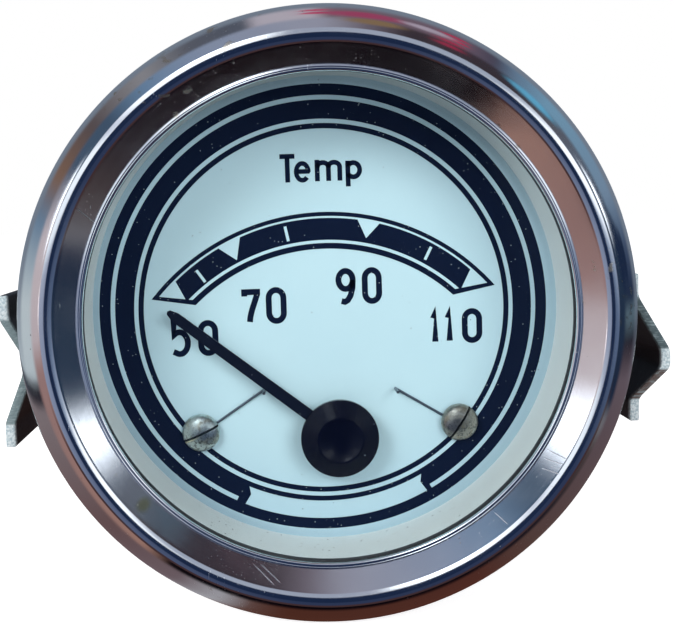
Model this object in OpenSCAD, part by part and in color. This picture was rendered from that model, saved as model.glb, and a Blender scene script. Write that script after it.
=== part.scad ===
// Dashboard temperature gauge with a flared chrome bezel and a clamping bracket.
// Millimetres. The dial faces -Y, +Z is up and +X is to the right of the dial.
// The origin lies on the case axis, on the face of the bezel that seats on the panel.

/* [Case] */
// Diameter of the case barrel
case_d = 52; // [46:0.5:60]
// Depth of the case behind the panel seat
case_depth = 36; // [34:0.5:50]
// Sheet thickness of the case
case_t = 0.5; // [0.4:0.05:0.7]
// Width of the case flange
flange_w = 2.3; // [2:0.1:2.8]
// Outside radius of the case's back corner
corner_r = 2; // [1.2:0.1:2.4]

/* [Bezel] */
// Height of the bezel in front of the panel
bezel_h = 6; // [5.6:0.1:7]
// Width by which the bezel stands out past the case flange
bezel_overhang = 1.7; // [1.5:0.05:2]
// Distance of the bezel's widest part from the panel
rim_y = 1.6; // [1.4:0.05:1.8]
// Sheet thickness of the bezel
bezel_t = 0.45; // [0.4:0.01:0.5]
// Depth of the lip below the crest of the bezel
lip_drop = 2.05; // [1.8:0.05:2.3]
// Width of the flat lip that holds the glass
lip_w = 0.6; // [0.4:0.05:0.8]
// Radius of the two beads on the crest
bead_r = 0.3; // [0.25:0.01:0.34]
// Distance from the bezel's edge in to the outer bead
bead_inset = 3.4; // [3.3:0.05:3.6]
// Distance between the two beads
bead_gap = 0.8; // [0.75:0.01:0.9]
// Gap between the crimped edge and the case barrel
crimp_gap = 1.2; // [0.9:0.1:1.4]

/* [Glass and light ring] */
// Distance from the edge of the case flange in to the edge of the glass
glass_inset = 2.1; // [1.8:0.1:2.6]
// Thickness of the rubber gasket behind the glass
gasket_t = 0.5; // [0.3:0.05:0.6]
// Depth from the bezel's widest part back to the dial
dial_depth = 9.3; // [8.6:0.1:10.5]
// Wall of the light ring
ring_t = 0.8; // [0.6:0.05:1]
// Gap between the light ring and the case
ring_gap = 0.4; // [0.35:0.05:0.8]
// Width by which the bezel's lip stands in past the light ring
lip_reach = 0.8; // [0.5:0.1:1.2]
// Thickness of the light ring's flange
ring_flange_t = 0.65; // [0.5:0.05:0.8]

/* [Dial] */
// Width of the dial's edge that bears on the light ring
dial_seat = 0.6; // [0.4:0.05:0.7]
// Thickness of the dial plate
dial_t = 0.5; // [0.4:0.05:0.8]
// Distance of each dial screw from the middle of the dial, sideways
dial_screw_x = 13.65; // [12.5:0.05:15]
// Height of the dial screws above the pivot
dial_screw_up = 0.8; // [0.4:0.1:1.2]
// Diameter of a dial screw's head
dial_head_d = 3.9; // [3.4:0.1:4.4]
// Height of a dial screw's head
dial_head_h = 1.2; // [1:0.05:1.5]
// Shank diameter of the dial and case screws
screw_d = 2; // [1.6:0.1:2.2]
// Thickness of the stop wires
wire_d = 0.28; // [0.24:0.01:0.34]

/* [Pointer] */
// Distance of the pivot from the middle of the dial, sideways
pivot_x = 0.8; // [0:0.05:1.2]
// Distance of the pivot from the inside of the case, below it
pivot_edge = 12.4; // [12:0.1:13.5]
// Direction of the resting pointer, measured up from the right
rest_angle = 141.3; // [139:0.1:144]
// Angle that the pointer turns between its stops
sweep = 98; // [90:1:102]
// Length of the pointer from the pivot to its tip
pointer_len = 22.1; // [18:0.1:24]
// Width of the pointer at the hub
pointer_w = 1.24; // [1:0.02:1.5]
// Width of the pointer at its tip
pointer_tip_w = 1.04; // [0.8:0.02:1.2]
// Thickness of the pointer
pointer_t = 0.35; // [0.25:0.05:0.5]
// Height of the pointer above the dial
pointer_lift = 1.75; // [1.5:0.05:2.2]
// Base diameter of the hub cap
cap_d = 8.1; // [7.6:0.1:9]
// Top diameter of the hub cap
cap_top_d = 4.8; // [4:0.1:5.6]
// Height of the hub cap
cap_h = 1.6; // [1.3:0.1:2.2]
// Distance of the left stop pin from the pivot
stop_left_r = 9.2; // [8.8:0.1:9.6]
// Distance of the right stop pin from the pivot
stop_right_r = 7.7; // [7.4:0.1:8]
// Gap between the pointer and a stop pin
stop_gap = 0.1; // [0.06:0.01:0.2]
// Diameter of the arbor
arbor_d = 0.8; // [0.7:0.05:0.9]
// Running clearance of the arbor in its bearings
pivot_clear = 0.05; // [0.03:0.01:0.08]

/* [Movement] */
// Thickness of the movement plates
plate_t = 1.2; // [1:0.1:1.5]
// Width of the coil former
former_w = 14.4; // [13:0.1:15]
// Depth of the coil former
former_depth = 10; // [9:0.5:11]
// Thickness of one winding
winding_t = 1.1; // [0.9:0.05:1.2]
// Width of one half of a winding
winding_w = 3; // [2.6:0.1:3.4]
// Gap between a winding and the plate beside it
winding_gap = 0.2; // [0.15:0.05:0.3]
// Diameter of the rotor magnet
magnet_d = 10; // [9:0.2:10.6]
// Thickness of the rotor magnet
magnet_t = 3; // [2.5:0.1:3.4]
// Clearance round the rotor magnet in its chamber
magnet_gap = 0.5; // [0.4:0.05:0.6]
// Diameter of a movement post
post_d = 2.8; // [2.6:0.1:3]
// Diameter of a pivot bush
bush_d = 3; // [2.6:0.1:3.2]
// Length of the series resistor
resistor_l = 10; // [8:0.5:10.4]
// Width and height of the series resistor
resistor_w = 4.6; // [4:0.1:5]

/* [Bracket] */
// Height of the bracket's strip
bracket_w = 15.6; // [14:0.2:17]
// Height of the middle of the bracket
bracket_z = -4.9; // [-5.5:0.1:-4.5]
// Sheet thickness of the bracket
bracket_t = 1; // [0.8:0.05:1.2]
// Distance from the panel seat to the bracket's feet
feet_y = 5.4; // [5:0.1:7]
// Distance from the bezel's edge out to the right leg's edges
right_edge_out = 2.6; // [2.2:0.1:3]
// Distance from the bezel's edge out to the right leg's middle
right_mid_out = 6; // [5:0.1:6.5]
// Height of the right leg's channel above the middle of the strip
right_mid_up = -1.3; // [-1.6:0.1:0.8]
// Distance from the bezel's edge out to the left leg's edges
left_edge_out = 3.5; // [3:0.1:4]
// Distance from the bezel's edge out to the left leg's middle
left_mid_out = 1.4; // [1.2:0.1:1.8]
// Height of the left leg's channel above the middle of the strip
left_mid_up = 0.7; // [-0.8:0.1:1.2]
// Height of the flats at a leg's edges
leg_flat = 2.4; // [1.8:0.1:2.8]
// Height of the flat along the middle of a leg's channel
channel_flat = 1.9; // [1.5:0.1:2.4]
// Distance of each bend's ends from its corner
bend_len = 0.55; // [0.3:0.05:0.8]
// Distance from the case back to the bracket's bridge
bridge_gap = 6; // [5.5:0.1:7.5]

/* [Studs and nuts] */
// Distance of a mounting stud from the side of the case
stud_edge = 7; // [6.5:0.1:7.5]
// Diameter of the studs and the terminals
thread_d = 3.9; // [3.6:0.05:4.2]
// Length of the mounting studs behind the case
stud_len = 20; // [18:0.5:26]
// Thickness of the heads of the mounting studs
stud_head_t = 0.9; // [0.7:0.1:1.2]
// Diameter of a thumb nut
nut_d = 12; // [10.6:0.2:13]
// Length of a thumb nut
nut_l = 5; // [4:0.5:6]
// Running clearance of a thumb nut on its stud
nut_clear = 0.05; // [0.03:0.01:0.1]
// Thickness of the spring washers
washer_t = 0.9; // [0.7:0.1:1.1]
// Width of the spring washers' rims
washer_w = 2; // [1.7:0.1:2.2]
// Width of the gap in the spring washers
washer_split = 0.6; // [0.5:0.1:0.8]
// Clearance of the bracket's holes and the spring washers round the studs
hole_clear = 0.3; // [0.2:0.05:0.4]

/* [Terminals and lamp] */
// Distance of a terminal from the top of the case
terminal_edge = 15; // [14.6:0.1:15.6]
// Length of the terminals behind the case
terminal_len = 10.5; // [10.2:0.5:14]
// Thickness of the insulating washers
insulator_t = 1.2; // [1:0.1:1.4]
// Width of the rims of the insulating washers
insulator_w = 2.55; // [2.2:0.05:2.8]
// Distance between the lamp holder's flange and the insulating washers
terminal_gap = 2.1; // [1.6:0.1:2.6]
// Distance of the lamp hole from the top of the case
lamp_edge = 13; // [12:0.1:14]
// Diameter of the lamp holder's barrel
lamp_d = 10.6; // [9.6:0.1:11.4]
// Width of the lamp holder's flange
lamp_flange_w = 1.1; // [0.8:0.1:1.4]
// Length of the lamp holder's barrel inside the case
lamp_len = 10; // [9:0.5:11]
// Length of the lamp holder's cap behind the case
lamp_cap_len = 7.5; // [6.5:0.5:9]
// Length that the bulb stands out of its holder
bulb_len = 11; // [9:0.5:12]
// Clearance of the lamp holder in its hole
lamp_clear = 0.2; // [0.1:0.05:0.3]
// Width of the lamp's blade contact
blade_w = 6.3; // [4.8:0.1:6.3]
// Thickness of the lamp's blade contact
blade_t = 0.8; // [0.6:0.05:1]
// Length of the lamp's blade contact
blade_len = 7.5; // [6.5:0.5:9]

/* [Hidden] */
$fn = 96;
sheet_fn = 160;
small_fn = 48;
case_r = case_d / 2;
flange_r = case_r + flange_w;
bezel_r = flange_r + bezel_overhang;
ring_r = case_r - case_t - ring_gap - ring_t;
window_r = ring_r - lip_reach;
glass_r = flange_r - glass_inset;
dial_r = ring_r + dial_seat;
pivot_z = pivot_edge + case_t - case_r;
dial_screw_z = pivot_z + dial_screw_up;
// Levels along Y, from the crest of the bezel back to the ends of the studs
crest_y = -bezel_h;
lip_y = crest_y + lip_drop;
glass_y = lip_y + bezel_t;
flange_y = -bezel_t - case_t;
ring_y = flange_y - ring_flange_t;
gasket_y = ring_y - gasket_t;
glass_t = gasket_y - glass_y;
dial_y = dial_depth - rim_y;
head_y = dial_y - wire_d;
front_plate_y = dial_y + dial_t;
coil_y = front_plate_y + plate_t + winding_gap;
former_y = coil_y + 2 * winding_t;
former_end = former_y + former_depth;
coil_end = former_end + 2 * winding_t;
back_plate_y = coil_end + winding_gap;
back_plate_end = back_plate_y + plate_t;
back_in = case_depth - case_t;
pointer_y = dial_y - pointer_lift - pointer_t;
cap_y = pointer_y - cap_h;
bridge_y = case_depth + bridge_gap;
bridge_end = bridge_y + bracket_t;
nut_y = bridge_end + washer_t;
inner_terminal_t = 1.6;
inner_terminal_y = back_in - insulator_t - inner_terminal_t;
arbor_tip = cap_y + cap_h * 0.4;
arbor_end = back_plate_y + plate_t;
pivot_end = arbor_end + 1.5;
// Places on the back of the case
thread_r = thread_d / 2;
stud_x = case_r - stud_edge;
stud_head_r = thread_r + 2.05;
stud_collar_t = 0.6;
stud_collar_r = thread_r + 1.45;
lamp_r = lamp_d / 2;
lamp_z = case_r - lamp_edge;
lamp_in_y = back_in - lamp_len;
insulator_r = thread_r + insulator_w;
terminal_x = lamp_r + lamp_flange_w + terminal_gap + insulator_r;
terminal_z = case_r - terminal_edge;
terminal_washer_t = 0.8;
hex_nut_t = 3.2;
hex_nut_af = 1.8 * thread_d;
// Places in the movement, from the pivot
winding_off = bush_d / 2 + 0.2 + winding_w / 2;
post_off = former_w / 2 + 0.4;
plate_half = post_off + post_d / 2;
resistor_z = pivot_z + plate_half - resistor_w - 0.8;
case_screw_len = 5;
// Places of the stop pins
pointer_arm_w = (pointer_w + 1.1 * wire_d) / 2 + stop_gap;
wire_r = wire_d / 2;
left_pin = rest_angle + asin(pointer_arm_w / stop_left_r);
right_pin = rest_angle - sweep - asin(pointer_arm_w / stop_right_r);
left_pin_at = [pivot_x + stop_left_r * cos(left_pin), pivot_z + stop_left_r * sin(left_pin)];
right_pin_at = [pivot_x + stop_right_r * cos(right_pin), pivot_z + stop_right_r * sin(right_pin)];

function arc(c, r, a0, a1, n) =
    [for (i = [0:n]) c + r * [cos(a0 + (a1 - a0) * i / n), sin(a0 + (a1 - a0) * i / n)]];

// Turns a profile of radius and Y about the case axis
module turned(n = $fn) {
    rotate([-90, 0, 0]) rotate_extrude($fn = n) children();
}

// A rod of radius r along +Y, which starts at the point at
module rod(at, h, r) {
    translate(at) rotate([-90, 0, 0]) cylinder(h = h, r = r);
}

// A plate of thickness t from y on, whose outline is drawn as X and Z
module plate(y, t) {
    translate([0, y + t, 0]) rotate([90, 0, 0]) linear_extrude(t) children();
}

module hex_rod(at, h, af) {
    translate(at) rotate([-90, 0, 0]) cylinder(h = h, r = af / sqrt(3), $fn = 6);
}

// A screwdriver slot across a head of radius r, cut from y on
module slot(y, r, w) {
    translate([-r - 1, y, -w / 2]) cube([2 * r + 2, r, w]);
}

module at_both(x, z) {
    for (side = [-1, 1]) translate([side * x, 0, z]) children();
}

module at_pivot() {
    translate([pivot_x, 0, pivot_z]) children();
}

module at_posts() {
    for (sx = [-1, 1]) for (sz = [-1, 1])
        translate([pivot_x + sx * post_off, 0, pivot_z + sz * post_off]) children();
}

// The bezel's section: lip, cone, two beads, the round flank and the crimped edge
module bezel() {
    bead_out_r = bezel_r - bead_inset;
    bead_in_r = bead_out_r - bead_gap;
    flank_w = bead_inset - bead_r;
    flank_h = bezel_h - rim_y - 0.25;
    flank_r = (flank_w * flank_w + flank_h * flank_h) / (2 * flank_w);
    flank_c = [bezel_r - flank_r, -rim_y];
    flank_a = -asin(flank_h / flank_r);
    inner_a = -asin((flank_h - bezel_t) / (flank_r - bezel_t));
    crimp_r = case_r + crimp_gap;
    edge_c = [bezel_r - rim_y, -rim_y];
    lip_in = window_r + 0.15;
    color([0.75, 0.76, 0.78]) turned(sheet_fn) polygon(concat(
        [[window_r, glass_y], [window_r, lip_y + 0.15], [lip_in, lip_y], [window_r + lip_w, lip_y]],
        arc([bead_in_r, crest_y + bead_r + 0.1], bead_r, 215, 305, 6),
        [[bead_in_r + bead_gap / 2, crest_y + bead_r + 0.05]],
        arc([bead_out_r, crest_y + bead_r], bead_r, 225, 300, 6),
        arc(flank_c, flank_r, flank_a, 0, 14),
        arc(edge_c, rim_y, 0, 90, 8),
        [[crimp_r, 0], [crimp_r, -bezel_t]],
        arc(edge_c, rim_y - bezel_t, 90, 0, 8),
        arc(flank_c, flank_r - bezel_t, 0, inner_a, 10),
        [[bead_in_r + 0.1, crest_y + bead_r + bezel_t], [window_r + lip_w + 0.2, glass_y]]));
}

module glass() {
    color([0.8, 0.9, 0.95, 0.4]) rod([0, glass_y, 0], glass_t, glass_r, $fn = sheet_fn);
}

module glass_gasket() {
    color([0.08, 0.08, 0.09]) turned(sheet_fn) translate([window_r + 0.1, gasket_y])
        square([glass_r - window_r - 0.1, gasket_t]);
}

// The light ring spaces the glass from the dial and carries the lamp's light round it
module light_ring() {
    color([0.93, 0.91, 0.82]) turned(sheet_fn) polygon([[ring_r, ring_y], [flange_r, ring_y],
        [flange_r, flange_y], [ring_r + ring_t, flange_y], [ring_r + ring_t, dial_y], [ring_r, dial_y]]);
}

// A drawn cup with a flange in front, and holes for all that passes through its back
module case_cup() {
    corner = [case_r - corner_r, case_depth - corner_r];
    color([0.32, 0.33, 0.35]) difference() {
        turned(sheet_fn) polygon(concat(
            [[case_r - case_t, flange_y], [flange_r, flange_y], [flange_r, -bezel_t], [case_r, -bezel_t]],
            arc(corner, corner_r, 0, 90, 8),
            [[0, case_depth], [0, back_in]],
            arc(corner, corner_r - case_t, 90, 0, 8)));
        rod([0, back_in - 1, lamp_z], case_t + 2, lamp_r + lamp_clear);
        at_both(stud_x, bracket_z) rod([0, back_in - 1, 0], case_t + 2, thread_r);
        at_both(terminal_x, terminal_z) rod([0, back_in - 1, 0], case_t + 2, thread_r + 1);
        at_posts() rod([0, back_in - 1, 0], case_t + 2, screw_d / 2);
    }
}

module dial_plate() {
    color([0.86, 0.92, 0.95]) difference() {
        rod([0, dial_y, 0], dial_t, dial_r, $fn = sheet_fn);
        at_pivot() rod([0, dial_y - 1, 0], dial_t + 2, bush_d / 2 + 0.6);
        at_both(dial_screw_x, dial_screw_z) rod([0, dial_y - 1, 0], dial_t + 2, screw_d / 2);
    }
}

// Two slotted screws with domed heads, which also clamp the stop wires
module dial_screws() {
    slot_w = 0.3;
    edge_h = 0.3;
    head_r = dial_head_d / 2;
    end_y = front_plate_y + plate_t + 1;
    dome = [for (i = [1:8]) [head_r * sin(i * 10), head_y - edge_h - (dial_head_h - edge_h) * cos(i * 10)]];
    for (side = [-1, 1]) color([0.62, 0.6, 0.52]) translate([side * dial_screw_x, 0, dial_screw_z])
        difference() {
            turned() polygon(concat([[0, end_y], [0, head_y - dial_head_h]], dome,
                [[head_r, head_y - edge_h], [head_r, head_y], [screw_d / 2, head_y], [screw_d / 2, end_y]]));
            rotate([0, side < 0 ? -23 : -56, 0]) slot(head_y - edge_h - head_r, head_r, slot_w);
        }
}

// A wire that lies on the dial from a to b and carries a stop pin there
module stop_wire(a, b) {
    run = b - a;
    len = norm(run);
    y = dial_y - wire_r;
    translate([a[0], y, a[1]]) rotate([0, 90 - atan2(run[1], run[0]), 0])
        cylinder(h = len, r = wire_r, $fn = 24);
    rod([b[0], pointer_y - 0.4, b[1]], dial_y - pointer_y + 0.4, 1.1 * wire_r, $fn = 24);
}

module stop_wires() {
    reach = screw_d / 2 + 0.35;
    color([0.45, 0.47, 0.5]) {
        stop_wire([reach * cos(27) - dial_screw_x, dial_screw_z + reach * sin(27)], left_pin_at);
        stop_wire([dial_screw_x - reach * cos(20), dial_screw_z + reach * sin(20)], right_pin_at);
    }
}

module pointer_arm() {
    tip = [[pointer_len - 1, pointer_tip_w / 2], [pointer_len - 0.15, pointer_tip_w / 4]];
    color([0.05, 0.05, 0.08]) plate(pointer_y, pointer_t) translate([pivot_x, pivot_z])
        rotate(rest_angle) difference() {
            union() {
                polygon(concat([[0, -pointer_w / 2]], [for (p = tip) [p[0], -p[1]]],
                    [[pointer_len, 0], tip[1], tip[0], [0, pointer_w / 2]]));
                circle(r = cap_d / 2 - 1);
            }
            circle(r = arbor_d / 2, $fn = small_fn);
        }
}

// A flat black cap with turned grooves on its cone
module hub_cap() {
    grooves = 5;
    rim = 0.25;
    cap_r = cap_d / 2;
    step = (cap_r - cap_top_d / 2) / grooves;
    rise = (cap_h - rim) / grooves;
    edge_y = pointer_y - rim;
    color([0.06, 0.06, 0.09]) at_pivot() turned() polygon(concat(
        [[arbor_d / 2, pointer_y], [cap_r, pointer_y], [cap_r, edge_y]],
        [for (i = [1:grooves]) each [[cap_r - (i - 0.35) * step, edge_y - (i - 0.65) * rise],
            [cap_r - i * step, edge_y - i * rise]]],
        [[0, cap_y], [0, arbor_tip], [arbor_d / 2, arbor_tip]]));
}

module arbor() {
    color([0.7, 0.71, 0.73]) at_pivot()
        rod([0, arbor_tip, 0], arbor_end - arbor_tip, arbor_d / 2, $fn = small_fn);
}

module rotor_magnet() {
    color([0.35, 0.33, 0.32]) at_pivot() difference() {
        rod([0, former_y + (former_depth - magnet_t) / 2, 0], magnet_t, magnet_d / 2);
        rod([0, former_y, 0], former_depth, arbor_d / 2, $fn = small_fn);
    }
}

// Outline of a movement plate, without its ears
module plate_outline() {
    translate([pivot_x, pivot_z]) difference() {
        square(2 * plate_half, center = true);
        circle(r = bush_d / 2);
    }
}

module front_plate() {
    ear_r = screw_d / 2 + 2.2;
    color([0.78, 0.66, 0.4]) difference() {
        plate(front_plate_y, plate_t) union() {
            plate_outline();
            for (side = [-1, 1]) translate([side * dial_screw_x, dial_screw_z]) circle(r = ear_r);
            difference() {
                translate([-dial_screw_x, dial_screw_z - ear_r]) square([2 * dial_screw_x, 2 * ear_r]);
                translate([pivot_x, pivot_z]) square(2 * post_off, center = true);
            }
        }
        at_both(dial_screw_x, dial_screw_z) rod([0, front_plate_y - 1, 0], plate_t + 2, screw_d / 2);
    }
}

module back_plate() {
    color([0.78, 0.66, 0.4]) plate(back_plate_y, plate_t) plate_outline();
}

module front_bush() {
    nose_y = dial_y - 0.3;
    color([0.8, 0.62, 0.3]) at_pivot() difference() {
        rod([0, nose_y, 0], front_plate_y + plate_t - nose_y, bush_d / 2);
        rod([0, nose_y - 1, 0], plate_t + dial_t + 3, arbor_d / 2 + pivot_clear, $fn = small_fn);
    }
}

module pivot_screw() {
    end_play = 0.1;
    color([0.8, 0.62, 0.3]) at_pivot() difference() {
        rod([0, back_plate_y, 0], pivot_end - back_plate_y, bush_d / 2);
        rod([0, back_plate_y - 1, 0], arbor_end + end_play + 1 - back_plate_y,
            arbor_d / 2 + pivot_clear, $fn = small_fn);
        slot(pivot_end - 0.6, bush_d / 2, 0.4);
    }
}

module movement_posts() {
    start = front_plate_y + plate_t;
    color([0.78, 0.66, 0.4]) at_posts() rod([0, start, 0], back_plate_y - start, post_d / 2);
}

// Half of the moulded former, with half of the rotor's chamber and a hub that reaches its plate
module former_half(start, hub_start) {
    half = former_depth / 2;
    chamber_t = magnet_t + 2 * magnet_gap;
    hub_len = 2 * winding_t + winding_gap;
    color([0.86, 0.82, 0.7]) at_pivot() difference() {
        union() {
            translate([-former_w / 2, start, -former_w / 2]) cube([former_w, half, former_w]);
            rod([0, hub_start, 0], hub_len, bush_d / 2);
        }
        rod([0, former_y + half - chamber_t / 2, 0], chamber_t, magnet_d / 2 + magnet_gap);
        rod([0, former_y - 5, 0], former_depth + 10, arbor_d / 2 + 0.4);
        for (sx = [-1, 1]) for (sz = [-1, 1])
            rod([sx * post_off, former_y - 1, sz * post_off], former_depth + 2, post_d / 2 + 0.3);
    }
}

module former_front() {
    former_half(former_y, front_plate_y + plate_t);
}

module former_back() {
    former_half(former_y + former_depth / 2, former_end);
}

// One half of a winding: a flat rectangular ring that goes round the former
module winding_half(wide, y, end) {
    difference() {
        translate([-wide / 2, y, -winding_w / 2]) cube([wide, end - y, winding_w]);
        translate([-wide / 2 + winding_t, y + winding_t, -winding_w])
            cube([wide - 2 * winding_t, end - y - 2 * winding_t, 2 * winding_w]);
    }
}

module inner_winding() {
    color([0.72, 0.4, 0.2]) at_pivot() for (side = [-1, 1]) translate([side * winding_off, 0, 0])
        rotate([0, 90, 0]) winding_half(former_w + 2 * winding_t, coil_y + winding_t, coil_end - winding_t);
}

module outer_winding() {
    color([0.75, 0.42, 0.22]) at_pivot() for (side = [-1, 1]) translate([0, 0, side * winding_off])
        winding_half(former_w + 2 * winding_t, coil_y, coil_end);
}

module return_magnet() {
    long = 8;
    high = 2;
    color([0.3, 0.3, 0.32]) at_pivot()
        translate([-long / 2, back_plate_end, -bush_d - high]) cube([long, 1.5, high]);
}

module series_resistor() {
    color([0.84, 0.8, 0.72]) translate([pivot_x - resistor_l / 2, back_plate_end, resistor_z])
        cube([resistor_l, resistor_w, resistor_w]);
}

module case_pillars() {
    color([0.75, 0.76, 0.78]) at_posts() difference() {
        rod([0, back_plate_end, 0], back_in - back_plate_end, post_d / 2 + 0.6);
        rod([0, back_in - case_screw_len, 0], case_screw_len + 1, screw_d / 2);
    }
}

module case_screws() {
    head_r = screw_d / 2 + 0.9;
    head_t = 1.1;
    color([0.7, 0.71, 0.72]) at_posts() difference() {
        union() {
            rod([0, back_in - case_screw_len, 0], case_screw_len + case_t, screw_d / 2);
            rod([0, case_depth, 0], head_t, head_r);
        }
        slot(case_depth + head_t - 0.5, head_r, 0.4);
    }
}

// A stiff lead through the points of a route, with round corners
module lead(points, r) {
    for (i = [0:len(points) - 2]) {
        run = points[i + 1] - points[i];
        translate(points[i]) rotate([0, acos(run[2] / norm(run)), atan2(run[1], run[0])])
            cylinder(h = norm(run), r = r, $fn = 32);
    }
    for (i = [1:len(points) - 2]) translate(points[i]) sphere(r = 1.1 * r, $fn = 32);
}

module coil_leads() {
    lead_y = back_plate_end + resistor_w / 2;
    top_z = resistor_z + resistor_w;
    color([0.7, 0.35, 0.15]) for (side = [-1, 1]) lead([
        [side * terminal_x, inner_terminal_y, terminal_z],
        [side * terminal_x, lead_y, terminal_z],
        [side * (terminal_x - 2), lead_y, terminal_z - 8],
        [pivot_x + side * 3.6, lead_y, top_z + 3],
        [pivot_x + side * 3.6, lead_y, top_z]], 0.4);
}

module terminals() {
    color([0.8, 0.65, 0.32]) at_both(terminal_x, terminal_z) {
        hex_rod([0, inner_terminal_y, 0], inner_terminal_t, hex_nut_af);
        rod([0, back_in - insulator_t, 0], case_t + insulator_t + terminal_len, thread_r);
    }
}

// Fibre washers inside the case, under the terminals' heads
module inner_insulators() {
    color([0.3, 0.14, 0.08]) at_both(terminal_x, terminal_z) difference() {
        rod([0, back_in - insulator_t, 0], insulator_t, insulator_r);
        rod([0, back_in - insulator_t - 1, 0], insulator_t + 2, thread_r);
    }
}

// Shouldered fibre bushes, which keep the terminals clear of the case
module outer_insulators() {
    color([0.3, 0.14, 0.08]) at_both(terminal_x, terminal_z) difference() {
        union() {
            rod([0, back_in, 0], case_t, thread_r + 0.95);
            rod([0, case_depth, 0], insulator_t, insulator_r);
        }
        rod([0, back_in - 1, 0], insulator_t + case_t + 2, thread_r);
    }
}

module terminal_washers() {
    color([0.76, 0.77, 0.78]) at_both(terminal_x, terminal_z) difference() {
        rod([0, case_depth + insulator_t, 0], terminal_washer_t, insulator_r - 0.5);
        rod([0, case_depth, 0], insulator_t + terminal_washer_t + 1, thread_r);
    }
}

module terminal_nuts() {
    first = case_depth + insulator_t + terminal_washer_t;
    second = first + hex_nut_t + 0.3;
    color([0.8, 0.65, 0.32]) at_both(terminal_x, terminal_z) for (y = [first, second]) difference() {
        hex_rod([0, y, 0], hex_nut_t, hex_nut_af);
        rod([0, y - 1, 0], hex_nut_t + 2, thread_r);
    }
}

module mounting_studs() {
    color([0.72, 0.73, 0.75]) at_both(stud_x, bracket_z) {
        rod([0, back_in - stud_head_t, 0], stud_head_t, stud_head_r);
        rod([0, back_in, 0], case_t, thread_r);
        rod([0, case_depth, 0], stud_collar_t, stud_collar_r);
        rod([0, case_depth + stud_collar_t, 0], stud_len - stud_collar_t, thread_r);
    }
}

// One leg's outer face, from its top edge to its bottom edge, as X and Z
function leg_face(edge_x, mid_x, mid_up) = let (h = bracket_w / 2, m = channel_flat / 2) rounded([
    [edge_x, h], [edge_x, h - leg_flat], [mid_x, mid_up + m], [mid_x, mid_up - m],
    [edge_x, leg_flat - h], [edge_x, -h]]);

// A line of points with each corner but the ends drawn as a bend
function rounded(p) = [p[0], for (i = [1:len(p) - 2]) each bend(p[i - 1], p[i], p[i + 1]), p[len(p) - 1]];
function bend(a, b, c) = let (from = b + bend_len * (a - b) / norm(a - b),
    to = b + bend_len * (c - b) / norm(c - b))
    [for (s = [0:0.25:1]) (1 - s) * (1 - s) * from + 2 * s * (1 - s) * b + s * s * to];
function shifted(points, dx) = [for (p = points) p + [dx, 0]];
function reversed(points) = [for (i = [len(points) - 1:-1:0]) points[i]];

// A strip with a pressed channel along each leg, bent into a U over the back of the case
module bracket() {
    right = leg_face(bezel_r + right_edge_out, bezel_r + right_mid_out, right_mid_up);
    left = leg_face(-bezel_r - left_edge_out, -bezel_r - left_mid_out, left_mid_up);
    deep = bridge_end - feet_y;
    color([0.72, 0.74, 0.75]) translate([0, 0, bracket_z]) difference() {
        union() {
            plate(feet_y, deep) polygon(concat(right, reversed(shifted(right, -bracket_t))));
            plate(feet_y, deep) polygon(concat(left, reversed(shifted(left, bracket_t))));
            plate(bridge_y, bracket_t) polygon(concat(right, reversed(left)));
        }
        at_both(stud_x, 0) rod([0, bridge_y - 1, 0], bracket_t + 2, thread_r + hole_clear);
    }
}

// Split spring washers under the thumb nuts
module spring_washers() {
    color([0.4, 0.41, 0.43]) at_both(stud_x, bracket_z) difference() {
        rod([0, bridge_end, 0], washer_t, thread_r + washer_w);
        rod([0, bridge_end - 1, 0], washer_t + 2, thread_r + hole_clear);
        translate([0, bridge_end + washer_t / 2, 0]) rotate([0, 0, 25])
            translate([-washer_split / 2, -washer_t, 0]) cube([washer_split, 2 * washer_t, thread_d + washer_w]);
    }
}

// A knurled nut with a plain collar at its foot
module thumb_nut(side) {
    teeth = 36;
    collar = 1;
    color([0.72, 0.6, 0.32]) translate([side * stud_x, 0, bracket_z]) difference() {
        union() {
            rod([0, nut_y, 0], collar, nut_d / 2 - 1.5);
            plate(nut_y + collar, nut_l - collar) polygon([for (i = [0:2 * teeth - 1])
                (nut_d / 2 - (i % 2) * 0.4) * [cos(i * 180 / teeth), sin(i * 180 / teeth)]]);
        }
        rod([0, nut_y - 1, 0], nut_l + 2, thread_r + nut_clear);
    }
}

module thumb_nut_left() {
    thumb_nut(-1);
}

module thumb_nut_right() {
    thumb_nut(1);
}

// The lamp holder is a sprung barrel with a flange, pushed into the case back
module lamp_holder() {
    wall = 0.6;
    flange_t = 1.2;
    cap_r = lamp_r - 0.8;
    end_y = case_depth + lamp_cap_len;
    color([0.78, 0.79, 0.8]) translate([0, 0, lamp_z]) turned() polygon([
        [lamp_r, lamp_in_y], [lamp_r, case_depth], [lamp_r + lamp_flange_w, case_depth],
        [lamp_r + lamp_flange_w, case_depth + flange_t], [cap_r, case_depth + flange_t + 0.4],
        [cap_r, end_y - 1], [cap_r - 0.8, end_y], [0, end_y], [0, back_in],
        [lamp_r - wall, back_in], [lamp_r - wall, lamp_in_y]]);
}

module lamp_contact() {
    start = case_depth + lamp_cap_len;
    color([0.8, 0.65, 0.32]) difference() {
        translate([-blade_w / 2, start, lamp_z - blade_t / 2]) cube([blade_w, blade_len, blade_t]);
        translate([0, start + blade_len * 0.6, lamp_z - 1]) cylinder(h = 2, r = 0.9, $fn = 24);
    }
}

module lamp_bulb() {
    bulb_r = lamp_r - 1;
    tip_y = lamp_in_y - bulb_len;
    color([0.9, 0.9, 0.8]) translate([0, 0, lamp_z]) turned() polygon(concat(
        [[0, back_in], [0, tip_y]],
        arc([0, tip_y + bulb_r], bulb_r, -80, 40, 10),
        [[bulb_r - 1.4, lamp_in_y], [bulb_r, lamp_in_y], [bulb_r, back_in]]));
}

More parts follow.
